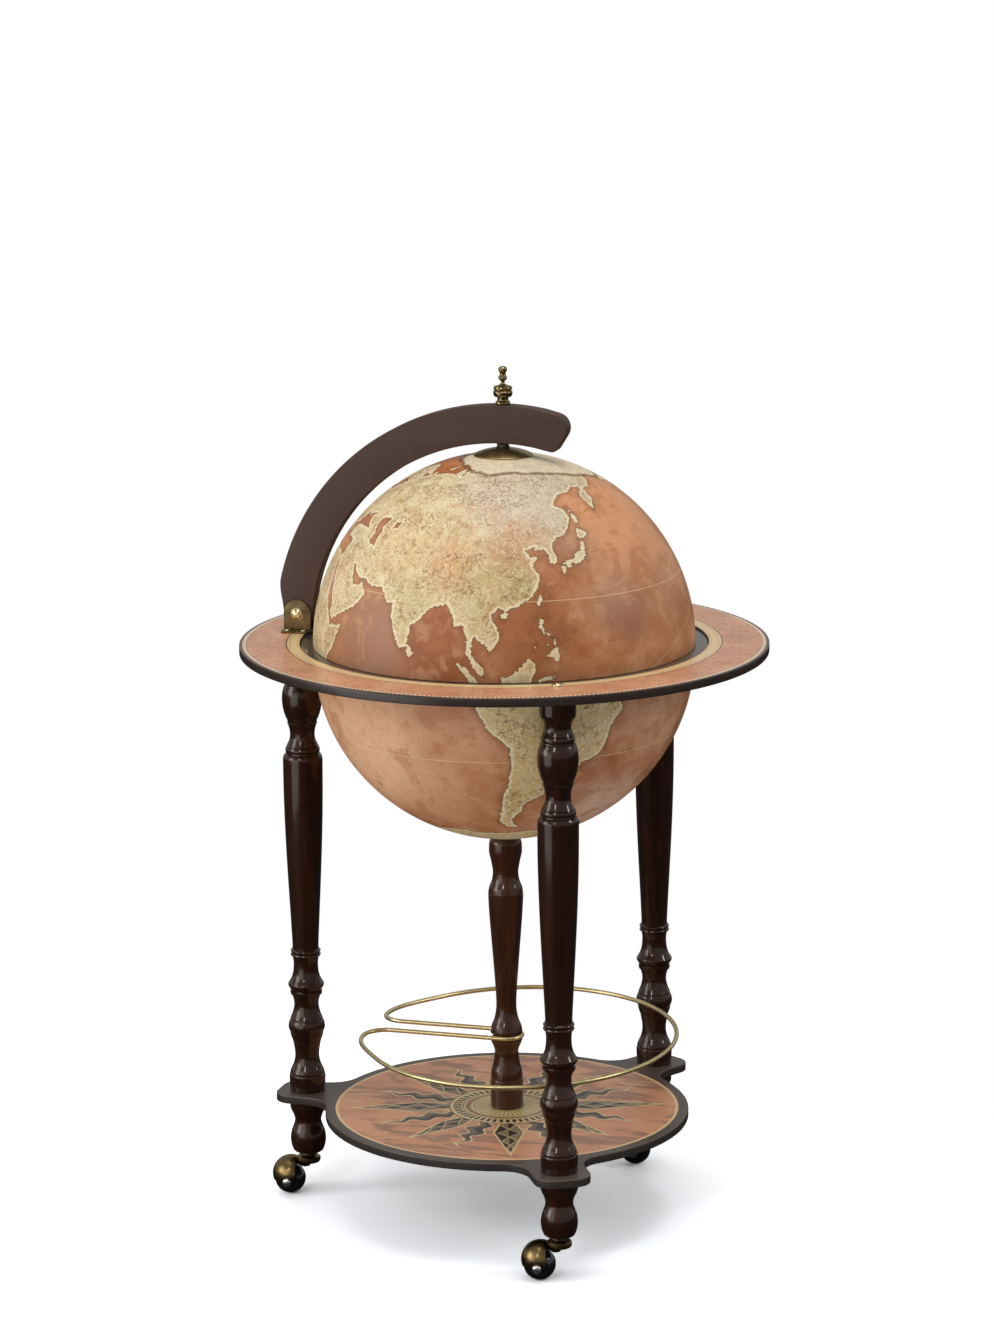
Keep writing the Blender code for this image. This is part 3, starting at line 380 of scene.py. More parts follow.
def drawnCurve(name, loops, dimensions):
    curve = bpy.data.curves.new(name, "CURVE")
    curve.dimensions = dimensions
    for loop in loops:
        spline = curve.splines.new("POLY")
        spline.points.add(len(loop) - 1)
        for point, place in zip(spline.points, loop):
            point.co = (*place, 1)
        spline.use_cyclic_u = True
    return linked(name, curve)


def meshPiece(name, mesh, finish, angle=32):
    mesh.shade_smooth()
    mesh.set_sharp_from_angle(angle=radians(angle))
    mesh.materials.clear()
    mesh.materials.append(finish)
    return linked(name, mesh)


def banded(name, verts, rows, matrix):
    # Faces between each row of vertex numbers and the next. At a pole the row repeats one number.
    faces = []
    for upper, lower in zip(rows, rows[1:]):
        for i in range(len(upper)):
            j = (i + 1) % len(upper)
            corners = list(dict.fromkeys((upper[i], lower[i], lower[j], upper[j])))
            if len(corners) > 2:
                faces.append(corners)
    mesh = bpy.data.meshes.new(name)
    mesh.from_pydata(verts, [], faces)
    mesh.validate()
    if matrix is not None:
        mesh.transform(matrix)
    return mesh


def turned(name, profile, finish, steps=72, ring=False, matrix=None, angle=32):
    # (radius, height) points turned about Z, running down the outer side. A ring's profile closes on itself.
    verts, rows = [], []
    for radius, height in profile:
        if radius < 1e-7:
            rows.append([len(verts)] * steps)
            verts.append((0, 0, height))
        else:
            rows.append(list(range(len(verts), len(verts) + steps)))
            verts += [(*place, height) for place in circle(radius, steps)]
    return meshPiece(name, banded(name, verts, rows + rows[:1] if ring else rows, matrix), finish, angle)


def weld(mesh):
    work = bmesh.new()
    work.from_mesh(mesh)
    bmesh.ops.remove_doubles(work, verts=work.verts, dist=0.002 * mm)
    bmesh.ops.recalc_face_normals(work, faces=work.faces)
    work.to_mesh(mesh)
    work.free()


def bakedMesh(maker, name):
    # What an object's curve or modifiers make, welded. The object itself goes.
    bpy.context.view_layer.update()
    mesh = bpy.data.meshes.new_from_object(maker.evaluated_get(bpy.context.evaluated_depsgraph_get()))
    mesh.name = name
    bpy.data.objects.remove(maker)
    weld(mesh)
    return mesh


def board(name, rim, holes, thickness, finish, matrix, edge=0.8 * mm):
    # A flat outline with holes and rounded edges, thickened both ways from z = 0
    maker = drawnCurve(name, [[(x, y, 0) for x, y in loop] for loop in [rim] + holes], "2D")
    curve = maker.data
    curve.fill_mode = "BOTH"
    curve.extrude = thickness / 2 - edge
    curve.bevel_depth = edge
    curve.bevel_resolution = 3
    curve.offset = -edge
    mesh = bakedMesh(maker, name)
    piece = meshPiece(name, mesh, finish)
    for face in mesh.polygons:
        if abs(face.normal.z) > 0.9999:
            face.use_smooth = False
    mesh.transform(matrix)
    return piece


def carved(name, start, cuts, finish, angle=32):
    # start with each (piece, operation) of cuts applied, which are then removed
    for cutter, operation in cuts:
        boolean = start.modifiers.new(cutter.name, "BOOLEAN")
        boolean.operation = operation
        boolean.object = cutter
        boolean.solver = "EXACT"
    mesh = bakedMesh(start, name)
    for cutter, operation in cuts:
        bpy.data.objects.remove(cutter)
    return meshPiece(name, mesh, finish, angle)


def settle(piece, body, nodes):
    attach(piece, body)
    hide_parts(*nodes)


def move(x=0, y=0, z=0):
    return Matrix.Translation((x, y, z))


def heights(node):
    low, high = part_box(node)
    return low.z, high.z


def levelBoard(name, rim, holes, finish, node, edge=0.8 * mm):
    low, high = heights(node)
    piece = board(name, rim, holes, high - low, finish, move(z=(low + high) / 2), edge)
    settle(piece, "stand", [node])


class Grower:
    # A Geometry Nodes tree with named inputs, and what it makes from a base object
    def __init__(self, name, inputs):
        self.tree = bpy.data.node_groups.new(name, "GeometryNodeTree")
        face = self.tree.interface
        face.new_socket("Geometry", in_out="INPUT", socket_type="NodeSocketGeometry")
        for label, kind in inputs.items():
            face.new_socket(label, in_out="INPUT", socket_type="NodeSocket" + kind)
        face.new_socket("Geometry", in_out="OUTPUT", socket_type="NodeSocketGeometry")
        self.inputs = self.tree.nodes.new("NodeGroupInput")
        self.outputs = self.tree.nodes.new("NodeGroupOutput")

    def add(self, kind, settings=None, values=None, output=0):
        return addNode(self.tree, kind, settings, values).outputs[output]

    def given(self, label):
        return self.inputs.outputs[label]

    def finish(self, geometry):
        real = self.add("GeometryNodeRealizeInstances", values={0: geometry})
        values = {"Geometry": real, "Material": self.given("Material")}
        dressed = self.add("GeometryNodeSetMaterial", values=values)
        self.tree.links.new(dressed, self.outputs.inputs[0])

    def grow(self, name, base, values):
        modifier = base.modifiers.new(self.tree.name, "NODES")
        modifier.node_group = self.tree
        for item in self.tree.interface.items_tree:
            if item.item_type == "SOCKET" and item.in_out == "INPUT" and item.name in values:
                modifier[item.identifier] = values[item.name]
        return meshPiece(name, bakedMesh(base, name), values["Material"])


# One rod along a path
rodGrower = Grower("rodAlongPath", {
    "Rod Radius": "Float", "Sides": "Int", "Spacing": "Float", "Material": "Material"})
evenPath = rodGrower.add("GeometryNodeResampleCurve", {"mode": "LENGTH"}, {
    "Curve": rodGrower.given("Geometry"), "Length": rodGrower.given("Spacing")})
rodSection = rodGrower.add("GeometryNodeCurvePrimitiveCircle", {"mode": "RADIUS"}, {
    "Resolution": rodGrower.given("Sides"), "Radius": rodGrower.given("Rod Radius")})
rodGrower.finish(rodGrower.add("GeometryNodeCurveToMesh", values={
    "Curve": evenPath, "Profile Curve": rodSection}))

# The same fixing at every point, each turned by its own random angle
fixingGrower = Grower("fixingsOnPoints", {
    "Fixing": "Object", "Turn": "Float", "Seed": "Int", "Material": "Material"})
fixing = fixingGrower.add(
    "GeometryNodeObjectInfo", values={"Object": fixingGrower.given("Fixing")}, output="Geometry")
anyTurn = fixingGrower.add("FunctionNodeRandomValue", {"data_type": "FLOAT"}, {
    2: 0.0, 3: fixingGrower.given("Turn"), "Seed": fixingGrower.given("Seed")}, 1)
turnAbout = fixingGrower.add("ShaderNodeCombineXYZ", values={2: anyTurn})
fixingGrower.finish(fixingGrower.add("GeometryNodeInstanceOnPoints", values={
    "Points": fixingGrower.given("Geometry"), "Instance": fixing, "Rotation": turnAbout}))
print("mesh tools ready")


# Places and hole sizes that several pieces share. The heights come from the frame.
legAzimuths = {"left": 180, "front": 300, "rear": 60}
legCircle = 224.5 * mm
legPlaces = {side: Vector((*polar(legCircle, azimuth), 0)) for side, azimuth in legAzimuths.items()}
drilled = {"leg": 3.3 * mm, "column": 2.8 * mm, "pivot": 4.3 * mm, "pin": 3.3 * mm, "bracket": 1.8 * mm}
legHoles = [circle(drilled["leg"], 32, place[:2]) for place in legPlaces.values()]
globeRadius = 200 * mm
ringTop = heights("horizon_ring")[1]
seatLow, seatTop = heights("rim_seat")
lidCentre = Vector((0, 0, heights("upper_hemisphere")[0]))
bowlCentre = Vector((0, 0, heights("lower_hemisphere")[1]))
shelfTop = heights("bottle_shelf")[1]


# Globe

globe = {
    "shell": 3 * mm, "around": 540, "rings": 116, "innerRings": 30, "tropic": 23.4,
    "upperTurn": 176.5,  # part azimuth of the prime meridian, upper half
    "lowerTurn": -1.5,
    "jag": 2.2,  # degrees by which the coast wanders
    "ripple": 2.6,
    "coastStep": 0.2,  # degrees between the points that distances to the coast are measured from
    "sunPathNode": -24.5, "gridStep": 15, "thread": 0.7 * mm, "waves": 1.15 * mm,
}

# Coasts drawn as (longitude, latitude) points
coasts = [
    [(-9, 37), (-9.5, 39), (-9, 43), (-2, 43.5), (-1.5, 46), (-4.5, 48.3), (1.5, 50.5), (4, 52), (8.5, 54),
     (8, 57), (10.5, 57.5), (11, 54.5), (14, 54), (19, 54.5), (21, 57), (24, 58), (24, 59.3), (30, 60),
     (25, 60.2), (22, 61), (21.5, 63), (25, 65), (22, 65.8), (17.5, 62), (17, 60.5), (16.5, 57), (14, 55.5),
     (11, 59), (8, 58), (5.5, 59), (5, 62), (10, 64), (14, 68), (20, 70), (26, 71), (31, 70), (41, 67),
     (40, 66.3), (33, 66.7), (35, 64.5), (38, 64), (40, 65), (43, 66.5), (44, 68.5), (48, 67.5), (54, 68.5),
     (60, 69), (66, 69), (68, 68.5), (67, 71), (70, 73), (74, 71), (73, 68), (76, 69), (75, 72), (80, 72.5),
     (81, 73.5), (87, 75), (98, 76.2), (104, 77.7), (113, 76), (107, 73.5), (113, 73.8), (127, 73.5),
     (130, 71), (140, 72.5), (152, 71), (160, 69.7), (170, 69), (180, 68.8), (190, 66), (187, 64.5),
     (180, 65), (177, 62.5), (170, 60), (164, 59.8), (163, 57.8), (162, 55), (157, 51), (156, 55),
     (156, 57.5), (161, 60.5), (156, 61.5), (150, 59.5), (142, 59), (135, 54.7), (140, 53.5), (141, 49),
     (135, 43.5), (131, 42.8), (128, 40), (129.3, 37), (129, 35), (126.5, 34.5), (126.5, 37.5), (125, 39.5),
     (121.5, 39), (122, 40.5), (118, 39), (119, 37.3), (122.3, 37), (119.5, 35), (121.8, 31.5), (121.8, 29),
     (118.5, 24.5), (114, 22.3), (110, 21), (108, 21.5), (106, 19.5), (109, 13.5), (107, 10.5), (105, 8.7),
     (105, 10.5), (102.5, 12), (100.7, 13.3), (99.5, 10), (100.5, 7), (103.4, 4.5), (104, 1.4), (101.3, 2.9),
     (100.3, 6), (98.3, 8.5), (98.6, 12), (97.5, 16.5), (94.5, 16), (94, 19), (91.8, 22.3), (89, 21.8),
     (87, 21.3), (85, 19.5), (82, 16.5), (80.2, 15.5), (80.2, 13), (79.8, 10.3), (77.5, 8), (76, 10.5),
     (74.5, 14), (73, 18), (72.7, 21), (70.5, 21), (69, 22.3), (68, 23.8), (66.5, 25.2), (61.5, 25.1),
     (57, 26.7), (54, 26.6), (51, 28), (49, 30.2), (48, 29.8), (50, 26.5), (51.5, 25), (52, 24), (55, 24.5),
     (56.3, 26), (59.8, 22.5), (57, 18.8), (52, 16), (45, 12.8), (43, 13.2), (42.5, 16.5), (39, 21.5),
     (35, 28), (34.5, 28), (32.5, 30), (34.5, 31.5), (36, 36.5), (31, 36.7), (27.5, 37), (26.5, 39.5),
     (29, 41), (36, 41.5), (41.5, 41.5), (37, 45), (39, 47), (34, 46), (33.5, 44.5), (31, 46.5),
     (28.5, 43.5), (27.5, 42), (26, 40.8), (23.5, 40.3), (24, 38), (22.5, 36.5), (20, 39.8), (19.3, 42),
     (15, 44.5), (13, 45.6), (12.5, 44), (16, 41.7), (18.5, 40.2), (15.8, 38), (15.5, 40), (12.3, 41.8),
     (10.3, 43.8), (8.5, 44.3), (3.3, 43.2), (3, 41.8), (0, 39), (-1, 37.5), (-4.5, 36.6), (-6, 36.1)],
    [(49, 46.5), (53, 46.8), (52.5, 44.5), (50.7, 44.3), (53, 42), (52.8, 39.5), (54, 37), (50.5, 37.3),
     (49, 38.5), (49.5, 40.5), (47.8, 43), (47, 44.8)],
    [(58.5, 46), (61.5, 46.5), (61, 44), (58.5, 43.8)],
    [(32.5, 30), (33, 28), (35.5, 24), (37.3, 20), (39.5, 15.5), (43, 11.8), (44, 10.5), (51.2, 11.8),
     (49, 7), (46, 3), (41.5, -1.7), (39.3, -5), (40.6, -10.5), (40.5, -15), (36.8, -17.8), (34.8, -20),
     (35.5, -24), (32.7, -26), (31, -30), (27.5, -33.3), (22, -34), (18.4, -34), (17, -29.5), (14.5, -22.5),
     (12, -18), (13.5, -12), (12, -6), (9, -1), (9.6, 4), (7, 4.4), (4.5, 6.4), (0, 5.3), (-4, 5.2),
     (-7.7, 4.4), (-12.5, 7.5), (-15, 11), (-17.3, 14.7), (-16.2, 19), (-17, 21.5), (-13, 27.7),
     (-9.7, 31.5), (-6, 35.8), (-2, 35.2), (10, 37.2), (11, 34), (15.5, 32.3), (20, 31), (20.5, 32.7),
     (25, 31.7), (31, 31.5)],
    [(49.3, -12.2), (50.3, -15.8), (47.2, -24.8), (44, -25), (43.5, -22), (44.5, -16.2)],
    [(130, 33.5), (131.7, 33.5), (131, 31.2), (130.2, 31.8)],
    [(131, 34.2), (133, 35.5), (136, 35.8), (137, 37.3), (139.3, 38.5), (140, 41), (141.4, 41.3),
     (142, 39.5), (140.8, 36), (139, 34.8), (135.8, 33.7), (135, 34.6), (132.5, 34.1)],
    [(132.5, 33.8), (134.3, 34.3), (134.3, 33.5), (132.9, 32.8)],
    [(140, 41.5), (140.3, 43.3), (141.7, 45.4), (145.3, 43.6), (143.2, 42.1), (141.2, 42.4)],
    [(142, 54), (143.3, 52), (144.5, 49), (143, 47), (142, 46.2), (142.2, 50)],
    [(121.5, 25.2), (121.9, 24.6), (120.8, 22), (120.2, 23.2)],
    [(109, 20), (110.9, 20), (110, 18.3), (108.7, 18.9)],
    [(80, 9.8), (81.8, 7.3), (80.5, 6), (79.8, 7.5)],
    [(120.5, 18.5), (122.2, 18.4), (121.6, 16), (124, 13), (121, 13.7), (120, 16)],
    [(122, 7.2), (123.5, 8.6), (125.5, 9.8), (126.4, 7.5), (125.5, 5.8), (124, 7)],
    [(124.3, 12.5), (125.5, 12), (125, 10.2)],
    [(122, 11.8), (123, 11), (122.4, 9.5)],
    [(119.4, 11.2), (117.3, 8.4), (118.6, 9.5)],
    [(109, 1.5), (111, 1.6), (113.5, 3.5), (117, 7), (119, 5.2), (117.8, 1), (116.3, -3.8), (114.5, -4),
     (110.3, -2.8), (109, -0.5)],
    [(95.3, 5.6), (97.5, 5.2), (100.5, 2.2), (103.6, -1), (106, -3), (105.7, -5.9), (104, -5.5), (101, -2.8),
     (98.7, 1.7)],
    [(105.2, -6.8), (106.8, -6), (110.9, -6.5), (114.4, -7.6), (114.3, -8.7), (108.5, -7.8)],
    [(119, -3.5), (119.5, -0.5), (120.5, 1), (124.8, 1.6), (123, 0.5), (120.5, 0.3), (121, -1),
     (123.3, -0.8), (121.8, -2), (122.8, -4.5), (121.5, -4.6), (120.8, -2.8), (120.3, -5.6), (119.4, -5.4)],
    [(131, -1), (134, -0.8), (135, -3.3), (138, -1.7), (141, -2.6), (145.8, -5.3), (147.8, -6.5),
     (150.8, -10.4), (147.5, -9.8), (144, -7.7), (141, -9.1), (138, -8.3), (138.5, -6.8), (135, -4.4),
     (132.8, -4)],
    [(114, -22), (113.5, -26), (115.7, -31.8), (115, -34.3), (118, -35), (123.5, -34), (129, -31.7),
     (131.5, -31.5), (135.5, -34.8), (138, -33), (138.3, -35.6), (140.5, -38), (144.5, -38.4), (146.5, -39),
     (150, -37.4), (153, -31), (153, -25.5), (149, -21), (146, -19), (145.3, -15.5), (142.5, -10.8),
     (141.5, -14), (140.8, -17.5), (136, -15.8), (136.8, -12.2), (132.5, -11.5), (130, -13.3), (128.5, -15),
     (125.5, -14.3), (122.3, -18), (118.5, -20.3)],
    [(145, -41), (148.2, -41), (147.3, -43.5), (145.6, -42.8)],
    [(172.8, -34.5), (175.5, -36.8), (178.3, -37.8), (176.5, -41), (175, -41.4), (174.7, -39), (174.5, -37)],
    [(173, -40.7), (174.2, -41.8), (171, -44.5), (169, -46.6), (166.6, -46), (170.5, -43)],
    [(-5.5, 50.2), (1.2, 51.2), (1.5, 52.8), (-0.5, 54.5), (-2, 57.5), (-5, 58.5), (-5.5, 56), (-3.2, 54),
     (-4.8, 52.8)],
    [(-10, 51.8), (-6.3, 52.2), (-6, 54.5), (-8.3, 55.2), (-9.8, 53.8)],
    [(-22.5, 64), (-18.5, 63.4), (-13.8, 65), (-16, 66.5), (-20.5, 65.8), (-23.8, 66)],
    [(-45, 60), (-52, 65), (-55, 70), (-66, 76), (-72, 78), (-62, 82), (-35, 83.5), (-20, 80), (-20, 74),
     (-25, 70), (-38, 66), (-42, 61.5)],
    [(52, 71), (56, 73.5), (60, 76), (68, 76.8), (60, 74.5), (57, 71)],
    [(12, 78), (20, 77), (25, 79.5), (15, 80)],
    [(-80, 73.5), (-68, 70), (-62, 66), (-70, 62.5), (-78, 65), (-73, 68.5), (-85, 70), (-88, 73.5)],
    [(-115, 73), (-105, 72.5), (-105, 69), (-115, 69.5)],
    [(-90, 76), (-78, 76), (-68, 80), (-65, 82.5), (-85, 82), (-95, 80)],
    [(-168, 65.6), (-162, 66.5), (-163, 69), (-156, 71.3), (-141, 69.7), (-128, 70), (-115, 68.5),
     (-108, 68), (-95, 68), (-95, 71.5), (-88, 68.5), (-82, 69.5), (-82, 67), (-87, 65), (-94, 61),
     (-94, 58.7), (-88, 56.5), (-82, 55), (-82, 52.8), (-79, 51.5), (-79, 55), (-77, 58), (-77.5, 62.3),
     (-70, 61), (-65, 59), (-61, 56), (-56, 52.5), (-60, 50), (-66, 50), (-70, 47.5), (-65, 49),
     (-64.5, 46.5), (-61, 46), (-66, 43.8), (-70, 43.5), (-70.5, 41.8), (-74, 40.5), (-75.5, 38),
     (-76, 35.2), (-81, 31.8), (-80.2, 26.5), (-81, 25.2), (-82.8, 28), (-84, 30), (-89.5, 30), (-94, 29.5),
     (-97.3, 27.5), (-97.5, 23), (-96, 19), (-92, 18.5), (-90.5, 21), (-87, 21.3), (-88, 17), (-88.5, 15.8),
     (-83.3, 15), (-83.8, 11), (-81.5, 9), (-79.5, 9.5), (-77.3, 8.5), (-78, 7.3), (-80, 7.3), (-83, 8.3),
     (-86, 10.5), (-87.5, 13), (-92, 14.3), (-95, 16), (-99.5, 16.6), (-105.5, 20), (-106, 23),
     (-109.5, 26.5), (-112.5, 30), (-114.7, 31.7), (-112, 27.5), (-109.5, 23), (-112.3, 25.8), (-115, 28.5),
     (-117, 32.5), (-120.6, 34.6), (-124, 40), (-124, 46), (-123, 49), (-128, 51), (-131, 55), (-137, 58.5),
     (-145, 60.3), (-152, 59.3), (-157, 57), (-164, 54.8), (-158, 58.5), (-162, 59.5), (-165.5, 62),
     (-161, 64.3)],
    [(-85, 22), (-80, 23), (-75, 20.7), (-77.5, 20), (-82, 22.3)],
    [(-74, 19.8), (-70, 19.8), (-68.5, 18.5), (-74, 18.2)],
    [(-77.3, 8.5), (-75.5, 10.7), (-71.7, 12.3), (-68, 11.5), (-62, 10.7), (-60, 8.5), (-54, 6), (-51, 4.3),
     (-50, 0.5), (-44, -2.5), (-37, -4.8), (-35, -8), (-39, -13.5), (-39.5, -18.5), (-41.5, -22.5),
     (-47, -24.7), (-48.6, -28), (-53.5, -34), (-57, -34.5), (-58, -36.5), (-62, -39), (-65, -41),
     (-65.5, -45), (-67.5, -46.5), (-69, -50.5), (-68, -53), (-66, -55), (-71, -54.5), (-75, -51),
     (-74, -46), (-73.3, -40), (-73, -37), (-71.5, -33), (-70.2, -25), (-70.3, -18.5), (-76, -14),
     (-79.5, -8), (-81, -5), (-80, -2.5), (-80, 0.5), (-77.5, 3.5), (-78, 7.3)],
    [(-180, -68), (-160, -66), (-140, -62), (-120, -61), (-100, -59), (-85, -61), (-70, -60.5), (-58, -59),
     (-45, -62), (-25, -65), (0, -64), (30, -66), (50, -65), (70, -67), (90, -65), (130, -64), (160, -66),
     (180, -68), (180, -90), (-180, -90)],
]
# The pale polar cap's edge, from the north coast to the open ocean
polarEdge = [(-180, 66), (-165, 62), (-140, 62), (-120, 67), (-60, 78), (0, 79), (45, 77), (58, 75.5),
             (70, 75), (82, 71.5), (100, 71), (120, 72), (140, 70.5), (160, 69), (180, 66)]


def onSphere(longitude, latitude):
    longitude, latitude = np.radians(longitude), np.radians(latitude)
    x, y = np.cos(latitude) * np.cos(longitude), np.cos(latitude) * np.sin(longitude)
    return np.stack([x, y, np.sin(latitude)], -1)


def densified(loop):
    points = []
    for a, b in zip(loop, loop[1:] + loop[:1]):
        stretch = hypot((b[0] - a[0]) * cos(radians((a[1] + b[1]) / 2)), b[1] - a[1])
        count = max(1, ceil(stretch / globe["coastStep"]))
        points += [(a[0] + (b[0] - a[0]) * i / count, a[1] + (b[1] - a[1]) * i / count) for i in range(count)]
    return np.array(points)


def treeOf(points):
    tree = KDTree(len(points))
    for index, point in enumerate(points):
        tree.insert(point, index)
    tree.balance()
    return tree


def writeCoasts(mesh, centre, turn):
    # On each vertex, degrees inside (+) or outside (-) the coast, and above (+) the polar cap's edge
    places = np.empty(len(mesh.vertices) * 3)
    mesh.vertices.foreach_get("co", places)
    places = places.reshape(-1, 3) - np.array(centre)
    places /= np.linalg.norm(places, axis=1, keepdims=True)
    latitude = np.degrees(np.arcsin(np.clip(places[:, 2], -1, 1)))
    longitude = (np.degrees(np.arctan2(places[:, 1], places[:, 0])) - turn + 180) % 360 - 180
    inside = np.zeros(len(places), bool)
    for loop in coasts:
        corners = np.array(loop, float)
        # A coast that runs on past 180 degrees east is tried once more from there
        for shift in (0, 360) if corners[:, 0].max() > 180 else (0,):
            east = longitude + shift
            for (x0, y0), (x1, y1) in zip(corners, np.roll(corners, -1, axis=0)):
                if y0 != y1:
                    crosses = (y0 > latitude) != (y1 > latitude)
                    inside ^= crosses & (east < x0 + (latitude - y0) * (x1 - x0) / (y1 - y0))
    shore = treeOf(onSphere(*np.concatenate([densified(loop) for loop in coasts]).T))
    distance = np.degrees([shore.find(point)[2] for point in onSphere(longitude, latitude)])
    coast = np.where(inside, distance, -distance)
    edge = np.array(polarEdge, float)
    cap = latitude - np.interp(longitude, edge[:, 0], edge[:, 1])
    for name, values in (("coast", coast), ("polarCap", cap)):
        layer = mesh.attributes.new(name, "FLOAT", "POINT")
        layer.data.foreach_set("value", values.astype(np.float32))


mapLook = {
    "ocean": [rgb(156, 94, 52), rgb(182, 116, 72), rgb(200, 138, 96), rgb(216, 160, 120)],
    "greyLand": rgb(206, 190, 166), "hills": rgb(206, 146, 94), "rim": rgb(240, 224, 184),
    "vein": rgb(176, 138, 90), "shoreLine": rgb(104, 72, 46), "ink": rgb(124, 74, 32),
    "thread": rgb(230, 200, 154), "polar": rgb(238, 220, 188), "inside": rgb(98, 60, 42),
}
lidLook = {
    "centre": lidCentre, "turn": globe["upperTurn"], "seed": 1.0, "sunPath": True,
    "land": [rgb(176, 142, 94), rgb(214, 186, 138), rgb(236, 218, 178)],
    # Soft patches: longitude, latitude, reach in millimetres, colour, share. The ocean's patches are partly
    # print colour and partly painted light and shade.
    "landTints": [(124, 60, 95, (210, 196, 176), 0.85), (100, 66, 60, (222, 202, 170), 0.5),
                  (92, 34, 44, (222, 166, 114), 0.7), (70, 40, 50, (232, 194, 140), 0.5),
                  (116, 40, 50, (200, 140, 96), 0.75), (108, 26, 60, (196, 172, 112), 0.7),
                  (78, 20, 45, (206, 190, 134), 0.6), (48, 24, 60, (232, 212, 172), 0.6)],
    # Partly print colour and partly painted light and shade: darker low on the lid near the ring, lighter at
    # its upper right
    "oceanTintsAndPaintedLight": [(66, 8, 90, (160, 118, 94), 0.8), (92, 10, 70, (148, 82, 44), 0.75),
                   (118, 12, 70, (146, 88, 50), 0.7), (135, 42, 45, (180, 132, 106), 0.8),
                   (168, 52, 110, (230, 166, 118), 0.8), (150, 18, 50, (150, 104, 82), 0.6),
                   (172, 22, 46, (188, 138, 104), 0.5), (40, 76, 50, (190, 112, 62), 0.9)],
}
bowlLook = {
    "centre": bowlCentre, "turn": globe["lowerTurn"], "seed": 2.0, "sunPath": False,
    "land": [rgb(186, 154, 98), rgb(220, 188, 128), rgb(238, 212, 156)],
    "landTints": [(-66, -34, 60, (206, 172, 112), 0.5), (0, -90, 120, (232, 216, 182), 0.9)],
    # Partly print colour and partly painted light: lighter on the bowl's left side, and a painted highlight
    # low on its right
    "oceanTintsAndPaintedLight": [(-122, -22, 130, (228, 180, 140), 0.9), (-96, -42, 70, (206, 148, 112), 0.7),
                   (-150, -10, 90, (226, 174, 130), 0.7), (-30, -50, 80, (240, 198, 172), 0.75),
                   (-14, -14, 60, (226, 174, 134), 0.7), (-85, -14, 60, (214, 158, 120), 0.6)],
}


